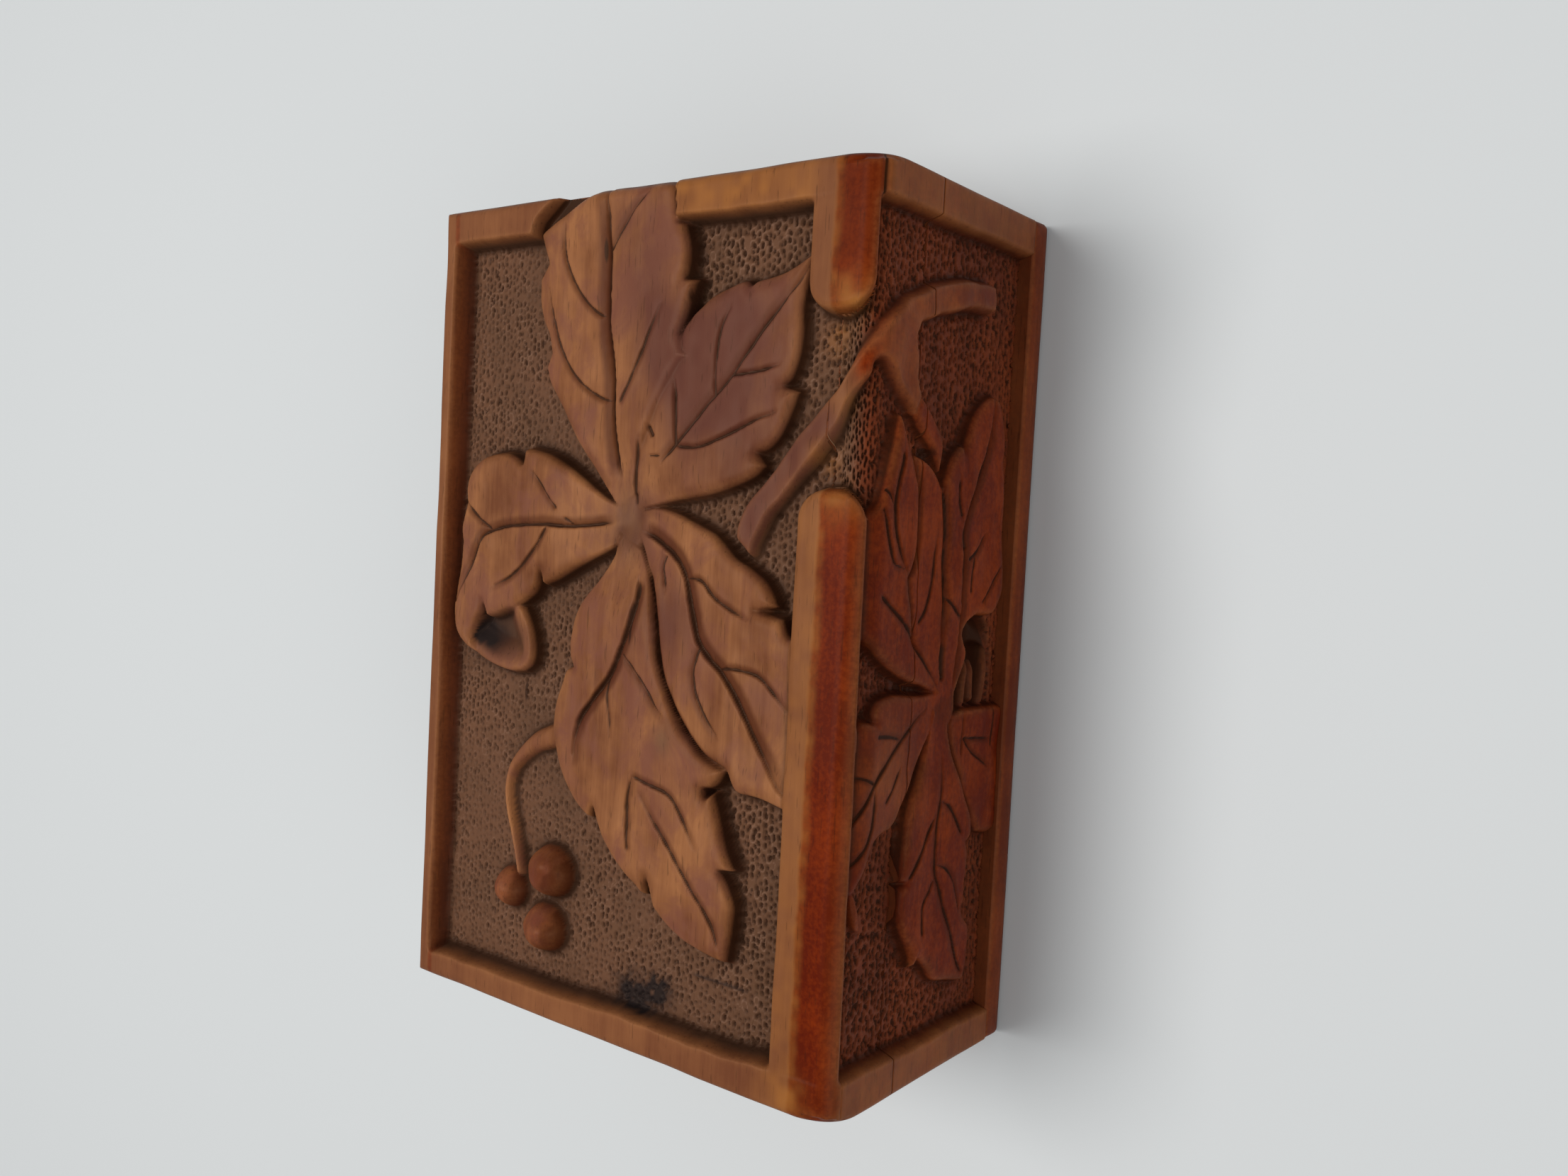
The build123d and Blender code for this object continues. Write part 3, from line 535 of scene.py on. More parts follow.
pocket = {
    "runs": (((50.4, 17.4), (52.4, 17.7), (54.6, 16.6), (56.4, 15.6), (58.4, 15.3), (60, 16.4), (61, 17),
        (62.3, 16.6)), ((63.1, 14), (63, 10.4), (62, 8.2), (58, 6.4), (54, 6.2), (50.2, 6.4)), ((50.1, 12),
        (50.4, 17.4))),
    "fingers": (((51, 14), (53.6, 13.8), (56.8, 13.2)), ((51.4, 11.6), (54, 11.8), (56.6, 11.9)), ((50.8, 9),
        (54, 8.6), (58, 8.4))),
}
rimGouge = (
    ((114.6, 61), (116.8, 60.2), (118.6, 58), (120.6, 55.6)),
    ((120.6, 49), (119, 51.4), (117.8, 54.4), (116.6, 57.2), (115.6, 59.2), (114.6, 61)),
)
# painted shadow spots in the deepest cuts and notches: x, second coordinate, half sizes
shadowSpots = {"top": ((55.4, 70.3, 2.9, 1.2), (111.5, 46, 2.6, 0.5), (59.5, 37.9, 4.2, 0.5), (32.2, 44.1, 1.1, 0.6),
                     (23.6, 32.8, 1.4, 0.7), (47.2, 61.8, 2.4, 0.5), (103, 30.4, 3.4, 0.7), (110.6, 30.8, 4.0, 0.6)),
             "front": ((84.6, 28.6, 1.6, 2.6), (53.9, 28.6, 0.6, 3.8))}
# stains, worn places and painted shade in the curl, in the same form
stainsAndShadows = {
    "curlShade": ((55.4, 66, 2.8, 4.2),),
    "curlMouthShadow": ((55.2, 70.2, 3.6, 4.6),),
    "frontPale": ((42, 35, 11, 7),),
    "branchRed": ((95, 1.6, 2.4, 1.8),),
    "warm": ((102.6, 4.0, 2.6, 2.6), (77.4, 4.6, 2.4, 2.4), (2.6, 7.6, 3.2, 3.2)),
    "warmFaint": ((91, 4.6, 2.6, 2.2), (98, 7.4, 2, 2), (83.5, 8, 2, 2)),
    "plum": ((96, 23, 13, 9), (95, 28.5, 11, 7)),
    "plumSpot": ((60, 31.5, 5, 5),),
    "plumFaint": ((106, 38, 12, 5), (115, 42.5, 4, 2)),
    "dust": ((73.6, 40.6, 5.5, 3.6), (44.5, 30.8, 2, 1.6), (55, 64, 3, 4)),
    "ink": ((6.8, 36.4, 3.0, 3.8), (8.6, 32.4, 2.2, 2.4)),
}


def domeEdge(distance, radius):
    # depth of a rounded edge at this distance in from it
    t = np.clip(radius - distance, 0, radius)
    return radius - np.sqrt(np.maximum(radius ** 2 - t ** 2, 0))


def noseMask(x, v, low, high, end, side):
    # rail in the unrolled plane: a strip with one rounded end, as inside distance
    r = rails["noseRadius"]
    reach = (end - x) * side
    mid, half = (low + high) / 2, (high - low) / 2
    qx, qy = r - reach, np.abs(v - mid) - (half - r)
    corner = np.hypot(np.maximum(qx, 0), np.maximum(qy, 0)) + np.minimum(np.maximum(qx, qy), 0)
    return r - corner


def spots(x, y, places):
    # soft oval spots, 1 in the middle
    out = np.zeros(x.shape)
    for cx, cy, rx, ry in places:
        out = np.maximum(out, np.exp(-((x - cx) / rx) ** 2 - ((y - cy) / ry) ** 2))
    return out


def carve(x, v):
    # height over the ground and the paint marks of the carved skin
    y, z, ny, nz, phi = skinFrame(v)
    front = ramp(phi, 0.25, 1.2)
    zEq = arcZ + (v - arcEnd)
    ground = rails["topSink"] + (rails["frontSink"] - rails["topSink"]) * ramp(phi, 0, math.pi / 2)
    grain = sway(x * 0.25, v, 1.6, 3)
    facets = sway(x, v, 5.0, 4)
    marks = {}
    leaf = np.zeros(x.shape)
    edgeIn = np.full(x.shape, -farOut)
    cut, shade = np.zeros(x.shape), np.zeros(x.shape)
    height = 0.22 * sway(x, v, 6.0, 1) + 0.1 * sway(x, v, 2.2, 2)

    for spec, second, region in ((topLeaf, v, v > 7.0), (frontLeaf, zEq, v < 2.0)):
        px, py = x[region], second[region]
        if not len(px):
            continue
        relief, inside = np.zeros(px.shape), np.full(px.shape, -farOut)
        nearHub = 1 - ramp(np.hypot(px - spec["hub"][0], py - spec["hub"][1]), 2.0, 11.0)
        for lobe in spec["lobes"].values():
            h, s = lobeHeight(px, py, lobe, spec["hub"], spec["hubHeight"], spec["wall"])
            inside = np.maximum(s, inside)
            spread = 0.12 + 0.9 * nearHub
            meet = np.maximum(spread - np.abs(h - relief), 0) / spread
            relief = np.maximum(h, relief) + meet ** 2 * spread / 4 * ramp(np.minimum(h, relief), 0.3, 0.9)
        fromHub = np.hypot((px - spec["hub"][0]) / 1.15, py - spec["hub"][1])
        relief = np.maximum(relief, spec["hubHeight"] * ramp(fromHub, spec["hubReach"], 3.0))
        depth, line, slopeShade = veinDepth(px, py, spec["veins"])
        on = ramp(relief, 0.12, 0.4)
        swell = 0.46 * facets[region] + 0.12 * grain[region] + 0.16 * sway(px, py, 2.3, 21)
        relief = relief + on * swell - depth * on
        height[region] = np.maximum(height[region], relief)
        leaf[region] = np.maximum(leaf[region], on)
        edgeIn[region] = np.maximum(edgeIn[region], inside)
        # dark lines in the vein cuts: grime and painted shade
        cut[region] = np.maximum(cut[region], line * on)
        # painted shade along the sloped sides of the veins, and darker noisy patches near the lobe edges
        brim = (1 - ramp(inside, 0.0, 2.2)) * ramp(valueNoise(px, py, 4.2, 24), 0.42, 0.75)
        shade[region] = np.maximum(np.clip(slopeShade, 0, 0.9), 0.55 * brim) * on

    # berries and their stem
    d, _, along = strokeField(x, v, topStem["points"], 4.0)
    width = topStem["width"] + (topStem["tipWidth"] - topStem["width"]) * ramp(along, 0.0, 0.6)
    stem = topStem["height"] * np.clip(1 - (d / width) ** 2.6, 0, 1) ** 0.6
    height = np.maximum(height, stem)
    leaf = np.maximum(leaf, ramp(stem, 0.2, 0.8))
    edgeIn = np.maximum(edgeIn, width - d)
    fruit = np.zeros(x.shape)
    for (cx, cy), (rx, ry), tall in berries:
        q = ((x - cx) / rx) ** 2 + ((v - cy) / ry) ** 2
        dome = tall * np.sqrt(np.clip(1 - q, 0, 1)) * (1 + 0.24 * sway(x, v, 2.1, 25))
        height = np.maximum(height, dome)
        fruit = np.maximum(fruit, ramp(dome, 0.1, 1.0))
        # painted shade on each berry's side towards the front and left, away from the light
        away = (cy - v) / ry + 0.35 * (cx - x) / rx
        shade = np.maximum(shade, (q < 1) * (0.85 * ramp(away + 0.5 * sway(x, v, 1.4, 26), 0.2, 0.5)))
        edgeIn = np.maximum(edgeIn, rx * (1 - np.sqrt(q)))
    leaf = np.maximum(leaf, fruit)

    # branch over the front edge, with its fork
    s = insideDistance(x, v, outline(*branch["runs"])) + 0.5 * sway(x, v, 3.0, 8)
    up = np.clip(s / branch["edge"], 0, 1)
    bough = branch["height"] * np.sqrt(np.maximum(1 - (1 - up) ** 2.4, 0))
    bough = bough - branch["forkDrop"] * ramp(100 - x, 0, 5) * ramp(-v, 3, 6) * (bough > 0)
    rough = 0.6 * facets + 0.3 * grain + 0.3 * sway(x, v, 2.4, 19)
    bough = np.maximum(bough + rough * ramp(bough, 0.3, 1.5), 0)
    height = np.maximum(height, bough)
    bark = ramp(s, -0.1, 0.25)
    leaf = np.maximum(leaf, bark)
    edgeIn = np.maximum(edgeIn, s)

    # dark pocket under the front leaf's middle
    s = insideDistance(x, zEq, outline(*pocket["runs"]))
    hollow = ramp(s, -0.15, 0.7) * (v < 0)
    fingers = np.zeros(x.shape)
    for stroke in pocket["fingers"]:
        d = strokeField(x, zEq, stroke, 3.0)[0]
        fingers = np.maximum(fingers, np.sqrt(np.clip(1 - (d / 0.95) ** 2, 0, 1)))
    gloom = np.clip(0.35 + 0.65 * ramp(x, 55, 58.5) + 0.4 * ramp(zEq, 14.5, 15.5), 0, 1) * ramp(zEq, 7.0, 9.5)
    deep = -2.8 * hollow * (0.3 + 0.7 * gloom) + 1.9 * fingers * hollow
    height = np.where(hollow > 0.02, np.minimum(height, 0.4) + deep, height)

    # rims and stiles, and the front rail with its two rounded ends
    wave = 0.6 * sway(v, x * 0, 9.0, 6) + 0.25 * sway(v, x * 0, 2.6, 7)
    leftWidth = np.where(v > 0, rails["leftRim"] + rails["leftFlare"] * (78 - v), rails["leftStile"] + 0.0135 * v)
    leftIn = leftWidth + wave - x
    rightIn = x - (boxLength - rails["rightRim"] + 0.5 * wave)
    breakLow, breakHigh = rails["rimBreak"]
    rightIn = np.minimum(rightIn, np.maximum(breakLow - v, 0.74 * (v - breakHigh + 0.9 * (x - 114.6))))
    backWave = 0.5 * sway(x, v * 0, 12.0, 9)
    backIn = v - (boxDepth - rails["backRim"] + backWave)
    railIn = noseMask(x, v, railLow(x), rails["railInner"] + 0.4 * backWave, rails["railEnd"], 1)
    stubIn = noseMask(x, v, railLow(x), rails["railInner"] + 0.2, rails["stubEnd"], -1)
    railIn = np.maximum(railIn, stubIn)
    proud = np.where(v < arcR, railProud(phi, rails["railRound"]), 0)
    rimIn = np.maximum(np.maximum(leftIn, rightIn), backIn)
    rim = (ground + proud - domeEdge(rimIn, rails["innerRound"]) - 0.14 * facets) * ramp(rimIn, -0.32, 0.1)
    inner = rails["railInner"] - v
    nose = np.where(x < rails["gapMiddle"], rails["railEnd"] - x, x - rails["stubEnd"])
    noseIn = np.minimum(nose, railIn + 0.9 * (v < 3))
    bar = ground + proud - domeEdge(inner, rails["innerRound"]) - 0.9 * domeEdge(noseIn, rails["noseRound"])
    bar = bar + 0.1 * facets
    barOn = ramp(railIn, -0.2, 0.06)
    overX, overLow, overHigh = rails["leafOver"]
    overLeaf = (x > overX) & (v > overLow) & (v < overHigh) & (edgeIn > -0.2)
    height = np.where((rimIn > -0.32) & ~overLeaf, np.maximum(rim, np.where(leaf > 0.5, 0, height)), height)
    height = np.where(barOn > 0.01, np.maximum(bar * barOn, height), height)
    gouge = ramp(insideDistance(x, v, outline(*rimGouge)), -0.3, 0.3) * (edgeIn < 0.15)
    height = np.where(gouge > 0.01, height * (1 - gouge) + 0.9 * gouge, height)
    fromCrack = np.abs(v - 0.62 - 0.12 * sway(x, x * 0, 4.0, 18))
    crack = np.clip(1 - fromCrack / 0.5, 0, 1) * ramp(x, 103, 105)
    height = height - 0.6 * crack * (rightIn > -0.1)
    rail = np.clip(np.maximum(barOn, ramp(rimIn, -0.3, 0.05) * ~overLeaf), 0, 1)
    leaf = leaf * (1 - rail)

    # punched ground
    flat = (1 - ramp(height, 0.35, 0.8)) * (1 - rail) * (1 - leaf) * (1 - hollow)
    clear = flat * ramp(np.minimum(-edgeIn, np.minimum(-railIn, -rimIn)), 0.0, 0.6)
    strength = 0.8 + 0.2 * (1 - ramp(v - 0.25 * (x - 60), 14, 52)) + 0.3 * sway(x, v, 9.0, 12)
    dents, burrs = [m * clear * strength * (1 + 0.3 * front) for m in punchMarks(x, v, punch["seed"])]
    height = height - punch["depth"] * ramp(dents, 0.15, 0.7) + 0.08 * burrs
    # the pocket is painted dark as its shade: darkest deep down where gloom is high, lighter on the raised fingers
    cut = np.maximum(cut * (1 - rail), hollow * (0.82 + 0.5 * gloom) * (1 - 0.35 * fingers))
    # painted shadows in the deepest notches; the rim gouge is painted dark as its shade, the crack is a dark joint
    cutShadow = np.maximum(spots(x, v, shadowSpots["top"]) * (v > 7), spots(x, zEq, shadowSpots["front"]) * (v < 0))
    cut = np.maximum(cut, cutShadow)
    cut = np.clip(np.maximum(cut, np.maximum(0.9 * gouge, crack)), 0, 1)

    # worn and rounded outer borders
    border = np.minimum(x, boxLength - x)
    soft = rails["edgeRound"] * (1 + 0.35 * sway(v, x, 7.0, 10)) * (1 - 0.45 * front)
    sunk = np.maximum(domeEdge(border, soft) * ~overLeaf, domeEdge(boxDepth - v, soft))
    depth = np.where(sunk > 0, np.maximum(ground - height, sunk), ground - height)
    depth = depth + np.where(overLeaf, domeEdge(border, rails["overRound"]), 0)

    # paint: how much of each tone lies where
    marks["leaf"], marks["rail"], marks["cut"], marks["dent"] = leaf, rail, cut, dents
    solidIn = np.maximum(np.maximum(edgeIn, railIn), np.where(overLeaf, -farOut, rimIn))
    marks["edge"] = np.clip(0.5 + solidIn / 3, 0, 1)
    # burrs: paler raised rims around the dents, a painted highlight
    marks["burr"] = burrs * (1 - 0.7 * front)
    band = v + 0.35 * sway(x, v, 4.0, 17) + 0.2 * sway(x, v, 0.8, 23)
    redBand = barOn * (1 - ramp(band, 6.3, 7.0))
    redBand = redBand * (0.68 * ramp(band, -0.9, 0.6) + 0.32 * ramp(band, 0.2, np.where(x > 95, 1.4, 3.0)))
    pale = 0.3 * leaf * spots(x, zEq, stainsAndShadows["frontPale"])
    frontRed = front * (0.66 + 0.24 * np.maximum(leaf, rail) - 0.3 * bark - pale)
    wall = ramp(backIn, -0.9, -0.3) * (1 - ramp(backIn, 0.15, 0.5))
    red = np.where(barOn > 0.5, redBand, frontRed) + 0.5 * wall + 0.38 * fruit * (1 - front)
    red = red + 0.7 * bark * spots(x, v, stainsAndShadows["branchRed"])
    stile = (1 - barOn) * rail * front
    marks["red"] = np.clip(red, 0, 1) * (1 - 0.5 * stile)
    stubRed = barOn * ramp(x, 104, 109) * ramp(band, 0.4, 2.0) * (1 - ramp(band, 5.6, 6.6))
    # painted shade inside the curl; the shade mark also holds the painted shade of vein slopes, berries and lobe edges,
    # and a darker red on the rail and stub
    shade = np.maximum(shade, 0.75 * leaf * spots(x, v, stainsAndShadows["curlShade"])) * (1 - rail)
    marks["shade"] = np.maximum(shade, 0.16 * redBand + 0.36 * stubRed)
    gold = 0.62 * ramp(rightIn, -0.1, 0.6) * ramp(v, 8, 12) * (1 - ramp(v, 33, 35))
    gold = gold + 0.3 * barOn * (1 - redBand) * (x < rails["gapMiddle"])
    gold = gold + 0.22 * stile + 0.5 * barOn * ramp(band, 5.0, 6.2) * (1 - ramp(band, 6.5, 7.2))
    warm = np.maximum(spots(x, v, stainsAndShadows["warm"]), 0.6 * spots(x, v, stainsAndShadows["warmFaint"]))
    marks["gold"] = np.clip(np.maximum(gold, warm) * (0.25 + 0.8 * valueNoise(x, v, 1.5, 20)), 0, 1)
    plum = 1.4 * spots(x, v, stainsAndShadows["plum"]) + 0.8 * spots(x, v, stainsAndShadows["plumSpot"])
    plum = plum + 0.6 * spots(x, v, stainsAndShadows["plumFaint"]) + 0.6 * bark * (v > 2)
    marks["plum"] = np.clip(plum * leaf * (0.7 + 0.8 * valueNoise(x, v, 6.0, 16)), 0, 0.95) * (1 - front)
    dust = spots(x, v, stainsAndShadows["dust"]) + 0.5 * (1 - leaf)
    marks["dust"] = np.clip(dust * (1 - rail) * (1 - 0.7 * front), 0, 1)
    ink = spots(x, v, stainsAndShadows["ink"]) * (0.5 + 1.9 * valueNoise(x, v, 0.9, 15))
    scratch = 0.8 * np.exp(-((x - 12.6) / 0.25) ** 2) * ramp(v, 16, 18) * (1 - ramp(v, 25, 27))
    # painted shadow, near black, deep in the curl's mouth; the other ink is real ink and a scratch
    mouthShadow = 1.25 * spots(x, v, stainsAndShadows["curlMouthShadow"]) * (0.75 + 0.5 * valueNoise(x, v, 1.2, 27))
    ink = np.maximum(ink, np.maximum(scratch, mouthShadow * ramp(depth, 0.9, 1.7)))
    marks["ink"] = np.clip(ink * (1 - front) * (1 - rail), 0, 1)
    return y, z, ny, nz, depth, marks


def skin(xs, vs):
    # points of the carved surface over a grid, with all their marks
    x, v = np.meshgrid(xs, vs)
    y, z, ny, nz, depth, marks = carve(x, v)
    step = abs(xs[1] - xs[0])
    # steep walls are evened out a little, so that they don't break up on the grid
    even = tented(tented(depth))
    depth = depth + (even - depth) * ramp(np.hypot(*np.gradient(even, step)), 0.8, 1.8)
    near, far = blurred(depth, 0.5 / step), blurred(depth, 2.0 / step)
    fall, run = np.gradient(depth, step)
    slope = np.hypot(fall, run)
    # rows run from the back to the front, so a wall that falls forward has a rising depth
    onRail = tented(ramp(np.maximum(marks["rail"], blurred(marks["rail"], 0.4 / step)), 0.1, 0.5))
    # painted shade on steep walls that face forward, away from the light at the back and above, and on all walls of the
    # front face; less on the rail and back rim
    facing = np.maximum(0.35 + 0.65 * ramp(fall, -0.6, 1.4), 0.85 * ramp(-v, 0, 3))
    atBack = ramp(v, boxDepth - 5, boxDepth - 3.6)
    marks["steep"] = tented(ramp(slope, 0.8, 1.8) * facing * (1 - 0.7 * onRail) * (1 - 0.9 * atBack))
    # cavity: painted shade and grime where the surface lies below its surroundings
    hollow = (depth - near) * 2.2 + (depth - far) * 0.26
    marks["cavity"] = tented(np.clip(hollow * (1 - 0.3 * onRail) * (1 - 0.6 * atBack), 0, 1))
    # wear: paler on convex edges and ridges, partly wear and partly painted highlight
    marks["wear"] = tented(np.clip((near - depth) * 2.0, 0, 1))
    points = np.stack([x, y - depth * ny, z - depth * nz], -1)
    return points, marks


def spaced(start, end, step):
    # even places about a step apart
    return np.linspace(start, end, int(round(abs(end - start) / step)) + 1)


gridStep = 0.22
columns = spaced(0, boxLength, gridStep)
apronRows = unrolledFront(spaced(arcZ, box["seamHigh"], gridStep))
lidRows = np.concatenate([spaced(boxDepth, arcR, gridStep)[:-1], spaced(arcR, arcEnd, gridStep)[:-1], apronRows])
lidPoints, lidMarks = skin(columns, lidRows)
print("lid skin", lidPoints.shape)
frontPoints, frontMarks = skin(columns, unrolledFront(spaced(box["seamLow"], box["bottom"], gridStep)))
print("front skin", frontPoints.shape)


# Closed boards from the skins
def toFrame(points):
    return (np.asarray(points, float).reshape(-1, 3) + origin) * mm


markNames = ("leaf", "rail", "cut", "dent", "red", "dust", "ink", "plum", "gold", "cavity", "wear", "edge", "steep",
             "shade", "burr")
# marks of the plain edges that close a skin
ringFill = {"rail": 1.0, "red": 0.4}
woodLook, rawLook = [bpy.data.materials.new(name) for name in ("carvedWood", "rawWood")]


def noMarks(shape):
    return {key: np.zeros(shape) for key in markNames}


def makePiece(name, points, faces, body, nodes, marks=None, rawFaces=0, smooth=0):
    # smooth: how many faces at the start are the shaped skin
    # rawFaces: how many at the end are the plain inner side
    mesh = bpy.data.meshes.new(name)
    mesh.from_pydata(toFrame(points).tolist(), [], faces)
    if marks:
        for key in markNames:
            layer = mesh.attributes.new(key, "FLOAT", "POINT")
            values = np.zeros(len(mesh.vertices), np.float32)
            values[:len(marks[key])] = marks[key]
            layer.data.foreach_set("value", values)
    flags = np.zeros(len(mesh.polygons), bool)
    flags[:smooth] = True
    mesh.polygons.foreach_set("use_smooth", flags)
    for look in (woodLook, rawLook) if marks else ():
        mesh.materials.append(look)
    index = np.zeros(len(mesh.polygons), np.int32)
    index[len(faces) - rawFaces:] = 1
    mesh.polygons.foreach_set("material_index", index)
    mesh.validate()
    piece = bpy.data.objects.new(name, mesh)
    bpy.context.scene.collection.objects.link(piece)
    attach(piece, body)
    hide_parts(*nodes)
    return piece


def gridFaces(rows, cols, flip=False):
    i = np.arange(rows - 1)[:, None] * cols + np.arange(cols - 1)[None, :]
    quads = np.stack([i, i + cols, i + cols + 1, i + 1], -1).reshape(-1, 4)
    return quads[:, ::-1] if flip else quads


def boundaryLoop(quads):
    # the edge loop around a patch of quads, in the patch's own turning sense
    edges = np.concatenate([quads[:, [0, 1]], quads[:, [1, 2]], quads[:, [2, 3]], quads[:, [3, 0]]])
    keys = {(a, b) for a, b in edges.tolist()}
    nextOf = {a: b for a, b in keys if (b, a) not in keys}
    start = next(iter(nextOf))
    loop, at = [start], nextOf[start]
    while at != start:
        loop.append(at)
        at = nextOf[at]
    return loop


def closeWithRings(points, quads, ringsOf):
    # skirts from the patch's border through the given rings, and a flat face over the last one
    loop = boundaryLoop(quads)
    used = np.unique(quads)
    renumber = -np.ones(len(points), int)
    renumber[used] = np.arange(len(used))
    faces = renumber[quads].tolist()
    loop = renumber[np.array(loop)]
    verts = [points[used]]
    count = len(used)
    previous = loop
    border = points[used][loop]
    for ring in ringsOf(border):
        verts.append(ring)
        current = count + np.arange(len(ring))
        count += len(ring)
        for k in range(len(loop)):
            n = (k + 1) % len(loop)
            faces.append([int(previous[n]), int(previous[k]), int(current[k]), int(current[n])])
        previous = current
    faces.append([int(k) for k in previous])
    return np.vstack(verts), faces, used


def weld(piece, gap=2e-7):
    work = bmesh.new()
    work.from_mesh(piece.data)
    bmesh.ops.remove_doubles(work, verts=work.verts, dist=gap)
    bmesh.ops.dissolve_degenerate(work, edges=work.edges, dist=gap)
    bmesh.ops.recalc_face_normals(work, faces=work.faces)
    work.to_mesh(piece.data)
    work.free()


def closedBoard(name, node, body, points, quads, ringsOf, marks):
    # one board: a marked skin, its plain edges and a raw inner side
    verts, faces, used = closeWithRings(points.reshape(-1, 3), quads, ringsOf)
    count = len(verts) - len(used)
    marks = {k: np.r_[marks[k].reshape(-1)[used], np.full(count, ringFill.get(k, 0.0))] for k in markNames}
    piece = makePiece(name, verts, faces, body, [node], marks, rawFaces=1, smooth=len(quads))
    weld(piece)
    return piece


blockFaces = ((0, 2, 3, 1), (4, 5, 7, 6), (0, 1, 5, 4), (2, 6, 7, 3), (0, 4, 6, 2), (1, 3, 7, 5))


def blockCorners(low, high):
    return [(x, y, z) for z in (low[2], high[2]) for y in (low[1], high[1]) for x in (low[0], high[0])]


def cutAway(piece, *boxes):
    # takes plain boxes, in millimetres, out of a piece
    for low, high in boxes:
        mesh = bpy.data.meshes.new("cutter")
        mesh.from_pydata(toFrame(blockCorners(low, high)).tolist(), [], blockFaces)
        cutter = bpy.data.objects.new("cutter", mesh)
        bpy.context.scene.collection.objects.link(cutter)
        tool = piece.modifiers.new("cut", "BOOLEAN")
        tool.operation, tool.solver, tool.object = "DIFFERENCE", "EXACT", cutter
        result = bpy.data.meshes.new_from_object(piece.evaluated_get(bpy.context.evaluated_depsgraph_get()))
        piece.modifiers.clear()
        old, name = piece.data, piece.data.name
        piece.data = result
        bpy.data.meshes.remove(old)
        piece.data.name = name
        bpy.data.objects.remove(cutter)
        bpy.data.meshes.remove(mesh)


wall, rabbet = box["wall"], box["rabbet"]
rows, cols = lidPoints.shape[:2]
allQuads = gridFaces(rows, cols).reshape(rows - 1, cols - 1, 4)
cellX = (columns[:-1] + columns[1:]) / 2
cellV = (lidRows[:-1] + lidRows[1:]) / 2
railCell = (lidMarks["rail"][:-1, :-1] + lidMarks["rail"][1:, 1:]) / 2 > 0.5
ofPanel = np.zeros((rows - 1, cols - 1), bool)
ofPanel[cellV > wall] = True
lipRows = (cellV <= wall) & (cellV > -1.2)
ofPanel[lipRows] = railCell[lipRows] & (cellV[lipRows][:, None] > railLow(cellX)[None, :] - 0.1)
# one patch each: stray cells between the two go to the apron
inGap = (cellX > rails["railEnd"]) & (cellX < rails["stubEnd"])
for r in np.where(lipRows)[0]:
    ofPanel[r] &= ~inGap
    if r and not ofPanel[r].all():
        ofPanel[r] &= ofPanel[r - 1]
lipFloor = boxHeight - box["lip"]


def panelRings(border):
    # down the edges to the underside; over the front apron the lip goes back to the wall's inner face
    atEdge = border[:, 1] >= wall - 0.01
    first = border.copy()
    first[~atEdge, 2] = np.minimum(border[~atEdge, 2], lipFloor)
    second = first.copy()
    second[~atEdge, 1] = wall
    rings = [first, second]
    for share in (0.18, 0.4, 0.62, 0.84, 0.97):
        ring = second.copy()
        ring[:, 2] += (box["panelFloor"] - ring[:, 2]) * share
        rings.append(ring)
    bevel, stained, sliver = 0.2, 3.5, 0.05
    last = second.copy()
    last[:, 0] = np.clip(last[:, 0], bevel, boxLength - bevel)
    last[:, 1] = np.where(atEdge, np.minimum(last[:, 1], boxDepth - bevel), wall)
    last[:, 2] = box["panelFloor"]
    # the underside outside the walls is stained like the edges, and raw wood starts further in
    inner = last.copy()
    inner[:, 0] = boxLength / 2 + (last[:, 0] - boxLength / 2) * (1 - 2 * stained / boxLength)
    inner[:, 1] = wall + sliver + (last[:, 1] - wall) * (1 - (stained + sliver) / (boxDepth - wall))
    return rings + [last, inner]


def plainRings(axis, level):
    # straight skirts along one axis; a first narrow ring keeps the carving's marks at the border
    def rings(border):
        near, far = border.copy(), border.copy()
        gap = level - border[:, axis]
        near[:, axis] += np.sign(gap) * np.minimum(0.15, 0.5 * np.abs(gap))
        far[:, axis] = level
        return [near, far]
    return rings


lidPanel = closedBoard("lidPanel", "lid_panel", "lid", lidPoints, allQuads[ofPanel], panelRings, lidMarks)
print("lid panel", len(lidPanel.data.polygons))
lidApron = closedBoard("lidFrontApron", "lid_front_apron", "lid", lidPoints, allQuads[~ofPanel], plainRings(1, wall),
                       lidMarks)
print("lid front apron", len(lidApron.data.polygons))
frontQuads = gridFaces(*frontPoints.shape[:2])
baseFront = closedBoard("baseFront", "base_front", "base", frontPoints, frontQuads, plainRings(1, wall), frontMarks)
print("base front", len(baseFront.data.polygons))

# End boards: sunk punched field inside a plain frame
ends = {"sink": 2.0, "stile": 5.5, "top": 37.0, "past": 3, "step": 0.5, "leftSeed": 30, "rightSeed": 40}
heights = {"base": (box["bottom"], box["seamLow"]), "lid": (box["seamHigh"], box["panelFloor"])}


